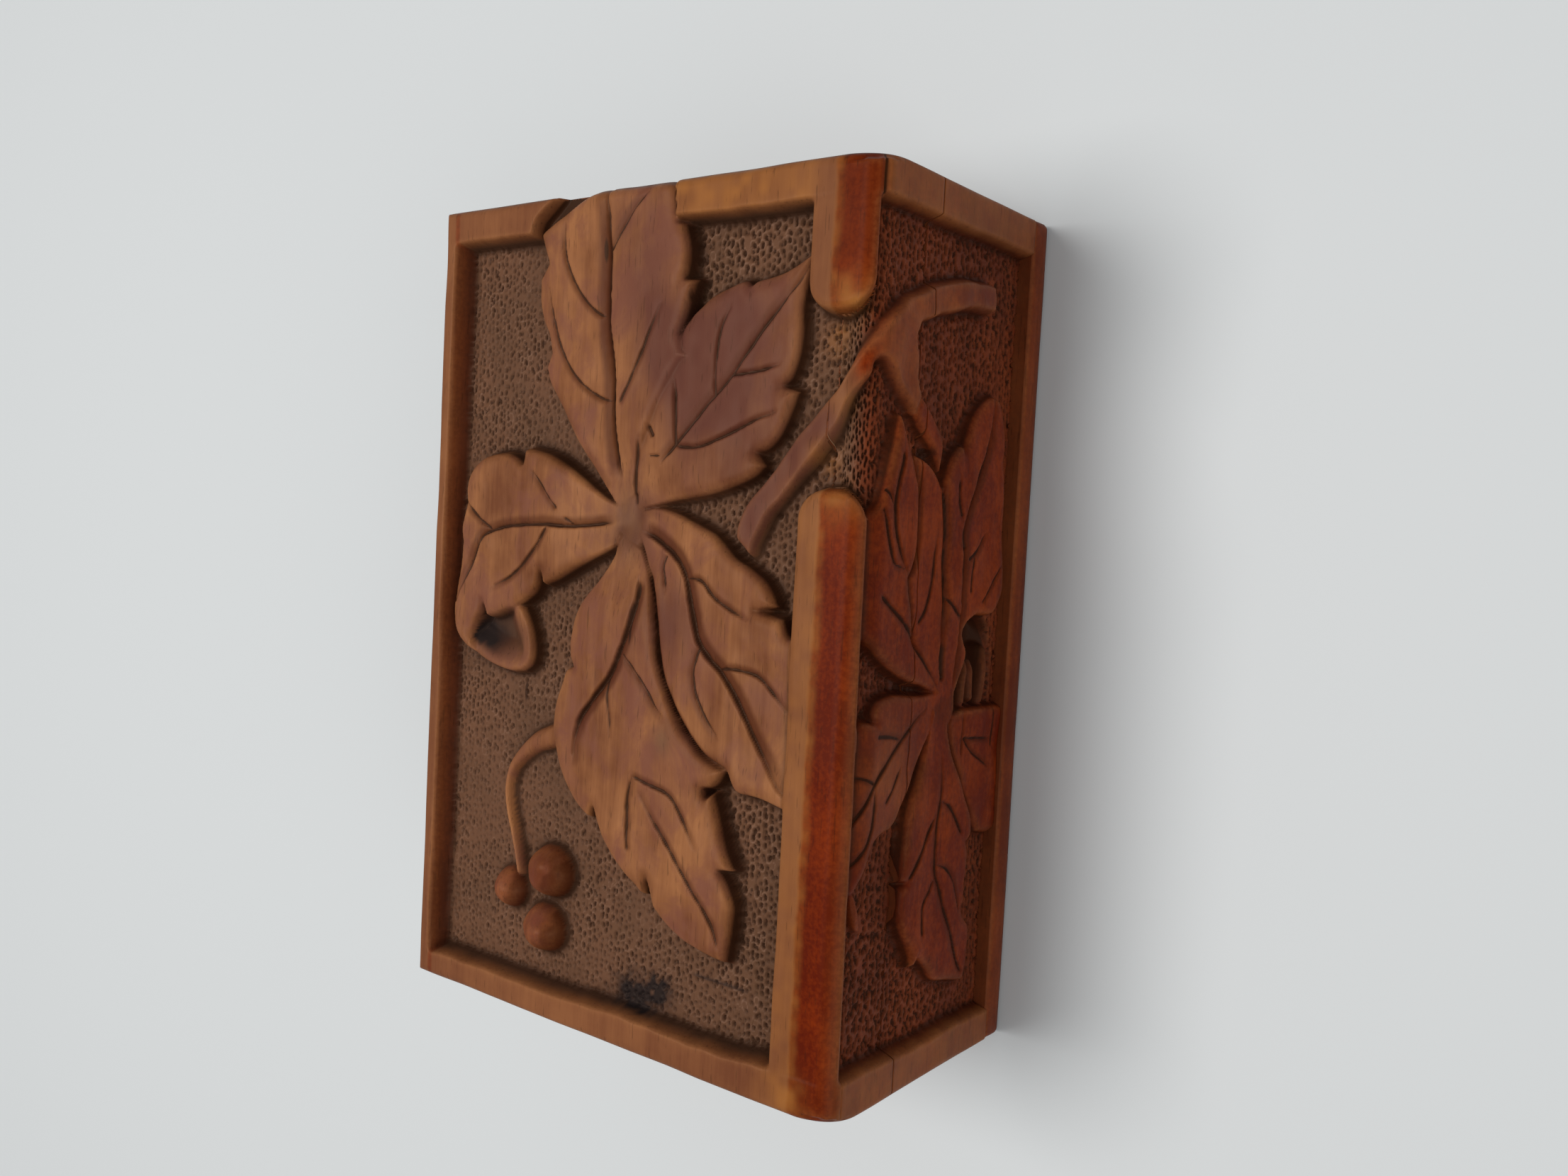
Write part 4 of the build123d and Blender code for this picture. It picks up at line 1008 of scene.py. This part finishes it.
def endBoard(name, node, body, rightSide):
    low, high = heights[body]
    us = spaced(wall - rabbet, boxDepth - wall + rabbet, ends["step"])
    u, w = np.meshgrid(us, spaced(high, low, ends["step"]))
    seed = ends["rightSeed"] if rightSide else ends["leftSeed"]
    inField = np.minimum(u - ends["stile"], boxDepth - ends["stile"] - u)
    inField = np.minimum(inField, np.minimum(ends["top"] - w + ends["past"], w - box["bottom"] + ends["past"]))
    inField = inField + 0.4 * sway(u, w, 8.0, seed)
    sunk = ramp(inField, -0.05, 0.6)
    dents, burrs = [m * ramp(inField, 0.8, 1.4) for m in punchMarks(u, w, seed)]
    depth = ends["sink"] * sunk + 0.2 * sunk * sway(u, w, 5.0, seed + 1) + 0.3 * dents
    depth = depth + 0.1 * (1 - ramp(np.minimum(w - low, high - w), 0.0, 0.5))
    x = boxLength - depth if rightSide else depth
    marks = noMarks(u.shape)
    marks["rail"], marks["dent"], marks["burr"] = 1 - sunk, dents, burrs
    near = blurred(depth, 2)
    # cavity: painted shade and grime in the field's hollows; wear: paler on raised places, wear and painted highlight
    marks["cavity"], marks["wear"] = np.clip((depth - near) * 1.5, 0, 1), np.clip((near - depth) * 2.0, 0, 1)
    marks["red"] = 0.45 + 0.35 * sunk
    quads = gridFaces(*u.shape, flip=not rightSide)
    rings = plainRings(0, boxLength - wall if rightSide else wall)
    return closedBoard(name, node, body, np.stack([x, u, w], -1), quads, rings, marks)


endBoard("baseLeft", "base_left", "base", False)
endBoard("baseRight", "base_right", "base", True)
endBoard("lidLeftApron", "lid_left_apron", "lid", False)
endBoard("lidRightApron", "lid_right_apron", "lid", True)


# Back boards: plain, with the hinge seats cut in
def backBoard(name, node, body):
    low, high = heights[body]
    u, w = np.meshgrid(spaced(0, boxLength, ends["step"]), spaced(high, low, ends["step"]))
    border = np.minimum(u, boxLength - u)
    depth = domeEdge(border, rails["edgeRound"]) + 0.12 * valueNoise(u, w, 14.0, 50) * ramp(border, 0, 3)
    depth = depth + 0.14 * (1 - ramp(np.minimum(w - low, high - w), 0.0, 0.6))
    points = np.stack([u, boxDepth - depth, w], -1)
    marks = noMarks(u.shape)
    marks["rail"] += 1
    marks["red"] = 0.4 + 0.2 * valueNoise(u, w, 16.0, 51)
    marks["wear"] = np.clip(1 - border / 1.6, 0, 1) * 0.5
    quads = gridFaces(*u.shape, flip=True)
    return closedBoard(name, node, body, points, quads, plainRings(1, boxDepth - wall), marks)


# cutters reach past the boards: to the side, and up from low or mid to high
cutters = {"past": 1, "low": 0, "mid": 20, "high": 40, "seatSide": 0.05, "seatPlay": 0.02, "leafThickness": 0.8}
past, cutLow, cutMid, cutHigh = [cutters[key] for key in ("past", "low", "mid", "high")]


def endRabbets(yLow, yHigh, zLow, zHigh):
    return [((-past, yLow, zLow), (wall, yHigh, zHigh)),
            ((boxLength - wall, yLow, zLow), (boxLength + past, yHigh, zHigh))]


def hingeSeats(owner, zLow, zHigh):
    seats, side = [], cutters["seatSide"]
    for name in ("left", "right"):
        low, high = np.array(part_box(f"{name}_hinge_{owner}_leaf")) / mm - origin
        seats.append(((low[0] - side, low[1] - side, zLow), (high[0] + side, boxDepth + past, zHigh)))
    return seats


seatLow = box["seamLow"] - cutters["leafThickness"] - cutters["seatPlay"]
seatHigh = box["seamHigh"] + cutters["leafThickness"] + cutters["seatPlay"]
backRabbet, frontRabbet = (boxDepth - wall - past, boxDepth - wall + rabbet), (wall - rabbet, wall + past)
baseBack = backBoard("baseBack", "base_back", "base")
cutAway(baseBack, *endRabbets(*backRabbet, cutLow, cutHigh), *hingeSeats("base", seatLow, cutHigh))
lidBack = backBoard("lidBackApron", "lid_back_apron", "lid")
cutAway(lidBack, *endRabbets(*backRabbet, cutMid, cutHigh), *hingeSeats("lid", cutMid, seatHigh))
cutAway(baseFront, *endRabbets(*frontRabbet, cutLow, cutHigh))
cutAway(lidApron, *endRabbets(*frontRabbet, cutMid, box["panelFloor"]))
print("back and end boards")

# Bottom board: rounded foot, worn top edge, raised field inside the walls
foot = {"corner": 0.9, "round": 1.2, "field": 1.0, "gap": 0.1, "sunk": 0.3, "wornFrom": 4.1, "ledge": 4.4}


def footprint(inset, z):
    # a closed ring around the board, a little uneven between the foot and the top edge
    r = max(foot["corner"] - inset, 0.15)
    x0, x1, y0, y1 = inset + r, boxLength - inset - r, inset + r, boxDepth - inset - r
    sides = (((x0, y0 - r), (x1, y0 - r), (x1, y0), -90), ((x1 + r, y0), (x1 + r, y1), (x1, y1), 0),
             ((x1, y1 + r), (x0, y1 + r), (x0, y1), 90), ((x0 - r, y1), (x0 - r, y0), (x0, y0), 180))
    ring = []
    for (ax, ay), (bx, by), (cx, cy), start in sides:
        for t in np.linspace(0, 1, 120, endpoint=False):
            ring.append((ax + (bx - ax) * t, ay + (by - ay) * t))
        for a in np.linspace(0, 90, 6, endpoint=False):
            turn = math.radians(start + a)
            ring.append((cx + r * math.cos(turn), cy + r * math.sin(turn)))
    ring = np.array(ring)
    lift = 0.5 * sway(ring[:, 0], ring[:, 1], 11.0, 60) * (1 if 0.5 < z < 4.2 else 0)
    centre = np.array([boxLength / 2, boxDepth / 2])
    out = ring + (ring - centre) / np.linalg.norm(ring - centre, axis=1)[:, None] * (lift * 0.25)[:, None]
    return np.c_[out, np.full(len(out), z)]


def tubeFaces(ringCount, sides, start=0):
    # quads between neighbouring closed rings of points
    faces = []
    for k in range(ringCount - 1):
        low, high = start + k * sides, start + (k + 1) * sides
        for i in range(sides):
            j = (i + 1) % sides
            faces.append([low + i, low + j, high + j, high + i])
    return faces


levels = []
for turn in map(math.radians, (0, 30, 60, 90)):
    levels.append((foot["round"] * (1 - math.sin(turn)), foot["round"] * (1 - math.cos(turn))))
levels += [(0.0, 2.0), (0.02, 2.8), (0.05, 3.6), (0.16, 4.2), (0.45, box["bottom"])]
rings = [footprint(inset, z) for inset, z in levels]
n, verts = len(rings[0]), np.vstack(rings)
shell = tubeFaces(len(rings), n)
faces = shell + [list(range(n))[::-1], [len(verts) - n + i for i in range(n)]]
faces += [[len(verts) + i for i in face] for face in blockFaces]
f0 = wall + foot["gap"]
fieldLow = (f0, f0, box["bottom"] - foot["sunk"])
fieldHigh = (boxLength - f0, boxDepth - f0, box["bottom"] + foot["field"])
verts = np.vstack([verts, blockCorners(fieldLow, fieldHigh)])
x, y, z = verts.T
ledge = z > foot["ledge"]
worn = np.where((z > foot["wornFrom"]) & (z < foot["ledge"]), 0.7, 0.0)
bottomMarks = noMarks(len(verts))
bottomMarks["rail"] += 1
bottomMarks["red"] = np.where(ledge, 0.45, 0.62)
bottomMarks["wear"] = worn * (0.4 + 0.8 * valueNoise(x, y, 6.0, 61))
# painted shade on the rounded foot next to the floor, and a little on the ledge
bottomMarks["cavity"] = np.where(z < 1.0, 0.5, np.where(ledge, 0.1, 0.0))
makePiece("baseBottom", verts, faces, "base", ["base_bottom"], bottomMarks, rawFaces=len(blockFaces),
          smooth=len(shell))

# Slotted screws, one piece for each leaf
screwLook = {"sides": 28, "slot": 0.32, "slotDepth": 0.3, "head": 1.2, "shank": 0.6, "countersink": 0.6}


def screwPiece(name, node, body, downwards):
    low, high = np.array(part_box(node)) / mm - origin
    head, shank, sides = screwLook["head"], screwLook["shank"], screwLook["sides"]
    faceZ, sign = (high[2], -1) if downwards else (low[2], 1)
    tall, cy = high[2] - low[2], (low[1] + high[1]) / 2
    places = (low[0] + head, high[0] - head)
    profile = ((head * 0.9, 0.0), (head, 0.08), (shank, screwLook["countersink"]), (shank, tall - 0.5), (0.12, tall))
    points, faces = [], []
    for cx in places:
        start = len(points)
        for radius, down in profile:
            for i in range(sides):
                a = 2 * math.pi * i / sides
                points.append((cx + radius * math.cos(a), cy + radius * math.sin(a), faceZ + sign * down))
        faces += tubeFaces(len(profile), sides, start)
        for first in (start, start + (len(profile) - 1) * sides):
            faces.append([first + i for i in range(sides)])
    piece = makePiece(name, np.array(points), faces, body, [node])
    weld(piece)
    # one slot lies along y, the other along x
    half, depth, reach = screwLook["slot"] / 2, screwLook["slotDepth"], head + 0.3
    z0, z1 = (faceZ - depth, faceZ + past) if downwards else (faceZ - past, faceZ + depth)
    for cx, (sx, sy) in zip(places, ((half, reach), (reach, half))):
        cutAway(piece, ((cx - sx, cy - sy, z0), (cx + sx, cy + sy, z1)))
    return piece


screws = [screwPiece(f"{side}Hinge{owner.capitalize()}Screws", f"{side}_hinge_{owner}_screws", owner, owner == "base")
          for side in ("left", "right") for owner in ("base", "lid")]
print("bottom board and screws")


# Materials
def addNode(tree, kind, inputs=None, **settings):
    made = tree.nodes.new(kind)
    for key, value in settings.items():
        setattr(made, key, value)
    for key, value in (inputs or {}).items():
        if isinstance(value, bpy.types.NodeSocket):
            tree.links.new(value, made.inputs[key])
        else:
            made.inputs[key].default_value = value
    return made


def mixColour(tree, factor, a, b):
    made = addNode(tree, "ShaderNodeMix", {0: factor, 6: a, 7: b}, data_type="RGBA", clamp_factor=True)
    return made.outputs[2]


def calc(tree, operation, a, b=0.0, clamp=False):
    return addNode(tree, "ShaderNodeMath", {0: a, 1: b}, operation=operation, use_clamp=clamp).outputs[0]


def times(tree, a, b):
    return calc(tree, "MULTIPLY", a, b)


def span(tree, value, low, high, outLow=0.0, outHigh=1.0):
    inputs = {0: value, 1: low, 2: high, 3: outLow, 4: outHigh}
    return addNode(tree, "ShaderNodeMapRange", inputs, clamp=True).outputs[0]


def nodesOf(look):
    look.use_nodes = True
    return look.node_tree, look.node_tree.nodes["Principled BSDF"]


def addBump(tree, shader, height, strength, distance):
    bump = addNode(tree, "ShaderNodeBump", {"Height": height, "Strength": strength, "Distance": distance})
    tree.links.new(bump.outputs[0], shader.inputs["Normal"])


def figureGroup():
    # wood seen along X: broad figure, fine fibre, pores, and slow blotches of stain
    group = bpy.data.node_groups.new("woodFigure", "ShaderNodeTree")
    for name in ("Figure", "Fibre", "Pores", "Blotch", "Mottle", "Speck"):
        group.interface.new_socket(name, in_out="OUTPUT", socket_type="NodeSocketFloat")
    place = addNode(group, "ShaderNodeTexCoord").outputs["Object"]
    out = addNode(group, "NodeGroupOutput")

    def stretched(scale, noiseScale, detail, rough, distortion=0.0):
        laid = addNode(group, "ShaderNodeMapping", {"Vector": place, "Scale": scale}).outputs[0]
        inputs = {"Vector": laid, "Scale": noiseScale, "Detail": detail, "Roughness": rough, "Distortion": distortion}
        return addNode(group, "ShaderNodeTexNoise", inputs).outputs[0]

    group.links.new(stretched((22, 300, 300), 1.0, 4.0, 0.55, 0.6), out.inputs["Figure"])
    group.links.new(stretched((90, 1900, 1900), 1.0, 3.0, 0.6), out.inputs["Fibre"])
    pores = stretched((260, 2600, 2600), 1.0, 2.0, 0.5)
    group.links.new(span(group, pores, 0.63, 0.7), out.inputs["Pores"])
    group.links.new(stretched((1, 1, 1), 62.0, 4.0, 0.6), out.inputs["Blotch"])
    group.links.new(stretched((0.7, 1, 1), 130.0, 5.0, 0.62, 0.4), out.inputs["Mottle"])
    group.links.new(stretched((1, 1, 1), 1500.0, 2.0, 0.6), out.inputs["Speck"])
    return group


def patinaAndShadeGroup():
    # grime and painted shade gather in hollows, dents and cuts and on walls turned from the light; convex edges go pale
    # with wear and painted highlight
    group = bpy.data.node_groups.new("carverPatinaAndShade", "ShaderNodeTree")
    inputs = {"NodeSocketColor": ("Colour", "Dark", "Pale"),
              "NodeSocketFloat": ("Cavity", "Cut", "Dent", "Wear", "Speck", "Edge", "Steep")}
    for kind, names in inputs.items():
        for name in names:
            group.interface.new_socket(name, in_out="INPUT", socket_type=kind)
    group.interface.new_socket("Colour", in_out="OUTPUT", socket_type="NodeSocketColor")
    given, out = addNode(group, "NodeGroupInput"), addNode(group, "NodeGroupOutput")
    broken = span(group, given.outputs["Speck"], 0.35, 0.65, 0.55, 1.1)
    worn = times(group, given.outputs["Wear"], broken)
    colour = mixColour(group, times(group, worn, 0.22), given.outputs["Colour"], given.outputs["Pale"])
    # the soft spots and lines are cut off sharply here
    # cavity and dents: grime and painted shade; steep walls below an outline: painted shade; cut: dark vein lines, the
    # shaded pocket and painted shadow spots
    grimeAndShade = times(group, given.outputs["Cavity"], 0.85)
    grimeAndShade = calc(group, "MAXIMUM", grimeAndShade, span(group, given.outputs["Dent"], 0.28, 0.55, 0.0, 0.82))
    below = span(group, given.outputs["Edge"], 0.46, 0.52, 0.9, 0.0)
    grimeAndShade = calc(group, "MAXIMUM", grimeAndShade, times(group, given.outputs["Steep"], below))
    grimeAndShade = calc(group, "MAXIMUM", grimeAndShade, span(group, given.outputs["Cut"], 0.56, 0.8, 0.0, 0.88), True)
    group.links.new(mixColour(group, grimeAndShade, colour, given.outputs["Dark"]), out.inputs["Colour"])
    return group


figure, patinaAndShade = figureGroup(), patinaAndShadeGroup()
tones = {
    "leafLight": (0.31, 0.122, 0.046, 1), "leafDark": (0.135, 0.042, 0.016, 1), "rose": (0.165, 0.055, 0.034, 1),
    "groundLight": (0.132, 0.055, 0.029, 1), "groundDark": (0.075, 0.032, 0.017, 1),
    "rimLight": (0.22, 0.08, 0.03, 1), "rimDark": (0.13, 0.039, 0.016, 1),
    "redLight": (0.2, 0.021, 0.001, 1), "redDark": (0.1, 0.006, 0.0004, 1),
    "plum": (0.1, 0.031, 0.022, 1), "dust": (0.14, 0.073, 0.042, 1), "ink": (0.01, 0.008, 0.009, 1),
    # grimeAndShade is the dark of grime and of painted shade
    "grimeAndShade": (0.018, 0.006, 0.003, 1), "pale": (0.36, 0.15, 0.05, 1), "gold": (0.34, 0.125, 0.026, 1),
    # shadeUmber is the dark brown of painted shade
    "burr": (0.27, 0.15, 0.1, 1), "shadeUmber": (0.058, 0.01, 0.003, 1),
    "rawLight": (0.36, 0.2, 0.1, 1), "rawDark": (0.2, 0.1, 0.05, 1), "rawPore": (0.08, 0.035, 0.018, 1),
}


def carvedWood(look):
    tree, shader = nodesOf(look)

    def mark(name):
        return addNode(tree, "ShaderNodeAttribute", attribute_name=name, attribute_type="GEOMETRY").outputs["Fac"]

    grain = addNode(tree, "ShaderNodeGroup", node_tree=figure)
    tone = calc(tree, "ADD", times(tree, grain.outputs["Figure"], 0.4), times(tree, grain.outputs["Blotch"], 0.7))
    tone = calc(tree, "ADD", tone, times(tree, grain.outputs["Fibre"], 0.16))
    tone = span(tree, tone, 0.48, 0.78)
    leaf = mixColour(tree, tone, tones["leafDark"], tones["leafLight"])
    leaf = mixColour(tree, span(tree, grain.outputs["Mottle"], 0.46, 0.64, 0.0, 0.85), leaf, tones["rose"])
    leaf = mixColour(tree, mark("plum"), leaf, tones["plum"])
    damp = span(tree, grain.outputs["Blotch"], 0.35, 0.68)
    ground = mixColour(tree, damp, tones["groundDark"], tones["groundLight"])
    rim = mixColour(tree, tone, tones["rimDark"], tones["rimLight"])
    grit = calc(tree, "ADD", tone, span(tree, grain.outputs["Speck"], 0.35, 0.65, -0.3, 0.3))
    grit = calc(tree, "SUBTRACT", grit, span(tree, grain.outputs["Mottle"], 0.42, 0.62, 0.0, 0.35))
    red = mixColour(tree, grit, tones["redDark"], tones["redLight"])
    colour = mixColour(tree, mark("leaf"), ground, leaf)
    colour = mixColour(tree, mark("rail"), colour, rim)
    colour = mixColour(tree, times(tree, mark("dust"), 0.6), colour, tones["dust"])
    colour = mixColour(tree, mark("red"), colour, red)
    colour = mixColour(tree, mark("gold"), colour, tones["gold"])
    # painted highlight on the burrs around the dents
    colour = mixColour(tree, span(tree, mark("burr"), 0.25, 0.75, 0.0, 0.42), colour, tones["burr"])
    # painted shade from the shade mark: vein slopes, berries' far sides, the curl and lobe edges; on the rail a darker
    # red
    colour = mixColour(tree, times(tree, mark("shade"), 0.85), colour, tones["shadeUmber"])
    colour = mixColour(tree, times(tree, grain.outputs["Pores"], 0.35), colour, tones["grimeAndShade"])
    inputs = {name: mark(name.lower()) for name in ("Cavity", "Cut", "Dent", "Wear", "Edge", "Steep")}
    inputs |= {"Colour": colour, "Dark": tones["grimeAndShade"], "Pale": tones["pale"], "Speck": grain.outputs["Speck"]}
    agedAndShaded = addNode(tree, "ShaderNodeGroup", inputs, node_tree=patinaAndShade).outputs[0]
    agedAndShaded = mixColour(tree, mark("ink"), agedAndShaded, tones["ink"])
    tree.links.new(agedAndShaded, shader.inputs["Base Color"])
    rough = calc(tree, "ADD", span(tree, mark("red"), 0.0, 1.0, 0.5, 0.4), times(tree, grain.outputs["Blotch"], 0.12))
    rough = calc(tree, "ADD", rough, times(tree, mark("dust"), 0.2))
    tree.links.new(rough, shader.inputs["Roughness"])
    tree.links.new(span(tree, mark("red"), 0.0, 1.0, 0.2, 0.06), shader.inputs["Specular IOR Level"])
    shader.inputs["Specular Tint"].default_value = (1.0, 0.5, 0.24, 1)
    shader.inputs["Coat Weight"].default_value = 0.03
    shader.inputs["Coat Roughness"].default_value = 0.3
    ripple = calc(tree, "ADD", times(tree, grain.outputs["Fibre"], 0.6), times(tree, grain.outputs["Speck"], 0.5))
    addBump(tree, shader, ripple, 0.25, 0.00012)


def rawWood(look):
    tree, shader = nodesOf(look)
    grain = addNode(tree, "ShaderNodeGroup", node_tree=figure)
    tone = calc(tree, "ADD", grain.outputs["Figure"], times(tree, grain.outputs["Fibre"], 0.5))
    colour = mixColour(tree, span(tree, tone, 0.4, 1.0), tones["rawDark"], tones["rawLight"])
    colour = mixColour(tree, times(tree, grain.outputs["Pores"], 0.5), colour, tones["rawPore"])
    tree.links.new(colour, shader.inputs["Base Color"])
    tree.links.new(span(tree, grain.outputs["Blotch"], 0.3, 0.7, 0.55, 0.72), shader.inputs["Roughness"])
    addBump(tree, shader, grain.outputs["Fibre"], 0.3, 0.0001)


def agedBrass(name, bright, dull):
    look = bpy.data.materials.new(name)
    tree, shader = nodesOf(look)
    place = addNode(tree, "ShaderNodeTexCoord").outputs["Object"]
    inputs = {"Vector": place, "Scale": 420.0, "Detail": 5.0, "Roughness": 0.62}
    cloud = addNode(tree, "ShaderNodeTexNoise", inputs).outputs[0]
    laid = addNode(tree, "ShaderNodeMapping", {"Vector": place, "Scale": (300, 3000, 3000)}).outputs[0]
    scratch = addNode(tree, "ShaderNodeTexNoise", {"Vector": laid, "Scale": 1.0}).outputs[0]
    tarnish = span(tree, cloud, 0.38, 0.66)
    tree.links.new(mixColour(tree, tarnish, bright, dull), shader.inputs["Base Color"])
    shader.inputs["Metallic"].default_value = 1.0
    rough = calc(tree, "ADD", span(tree, tarnish, 0.0, 1.0, 0.26, 0.55), times(tree, scratch, 0.1))
    tree.links.new(rough, shader.inputs["Roughness"])
    addBump(tree, shader, calc(tree, "ADD", cloud, times(tree, scratch, 0.4)), 0.2, 0.00006)
    return look


carvedWood(woodLook)
rawWood(rawLook)
hingeLook = agedBrass("hingeBrass", (0.52, 0.36, 0.14, 1), (0.16, 0.1, 0.045, 1))
screwBrass = agedBrass("screwBrass", (0.5, 0.33, 0.12, 1), (0.12, 0.075, 0.035, 1))
for node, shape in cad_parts.items():
    if "leaf" in node or "pin" in node:
        shape.data.materials.clear()
        shape.data.materials.append(hingeLook)
for piece in screws:
    piece.data.materials.append(screwBrass)
print("materials")

# Camera as the photograph was taken
camera = {"place": (0.0153, -0.1274, 0.1754), "lens": 36 * 1839 / 2212,
          "right": (0.0532, -0.7966, -0.6022), "down": (-0.9972, -0.0742, 0.0101)}
lens = bpy.data.cameras.new("photoCamera")
lens.sensor_width, lens.lens, lens.clip_start = 36.0, camera["lens"], 0.005
eye = bpy.data.objects.new("photoCamera", lens)
right = Vector(camera["right"]).normalized()
down = Vector(camera["down"])
down = (down - right * down.dot(right)).normalized()
back = right.cross(-down)
eye.matrix_world = Matrix.Translation(camera["place"]) @ Matrix((right, -down, back)).transposed().to_4x4()
bpy.context.scene.collection.objects.link(eye)
bpy.context.scene.camera = eye

# Pale floor and soft light
floorMesh = bpy.data.meshes.new("floor")
reach = 1.5
floorCorners = [(-reach, -reach, 0), (reach, -reach, 0), (reach, reach, 0), (-reach, reach, 0)]
floorMesh.from_pydata(floorCorners, [], [(0, 1, 2, 3)])
floor = bpy.data.objects.new("floor", floorMesh)
bpy.context.scene.collection.objects.link(floor)
floorLook = bpy.data.materials.new("paleFloor")
floorShader = nodesOf(floorLook)[1]
floorShader.inputs["Base Color"].default_value = (0.63, 0.645, 0.64, 1)
floorShader.inputs["Roughness"].default_value = 0.6
floorMesh.materials.append(floorLook)


def areaLight(name, place, aim, size, power):
    lamp = bpy.data.lights.new(name, "AREA")
    lamp.shape, lamp.size, lamp.energy = "DISK", size, power
    holder = bpy.data.objects.new(name, lamp)
    holder.location = place
    holder.rotation_euler = (Vector(aim) - Vector(place)).to_track_quat("-Z", "Y").to_euler()
    bpy.context.scene.collection.objects.link(holder)


areaLight("overhead", (0.05, 0.36, 1.08), (0, 0, 0.02), 0.7, 9.5)
areaLight("fill", (-0.3, -1.0, 0.7), (0, 0, 0.03), 0.9, 4.1)
world = bpy.data.worlds.new("room")
world.use_nodes = True
sky = world.node_tree.nodes["Background"].inputs
sky["Color"].default_value, sky["Strength"].default_value = (0.8, 0.82, 0.85, 1), 0.35
bpy.context.scene.world = world
bpy.context.scene.view_settings.view_transform = "Standard"
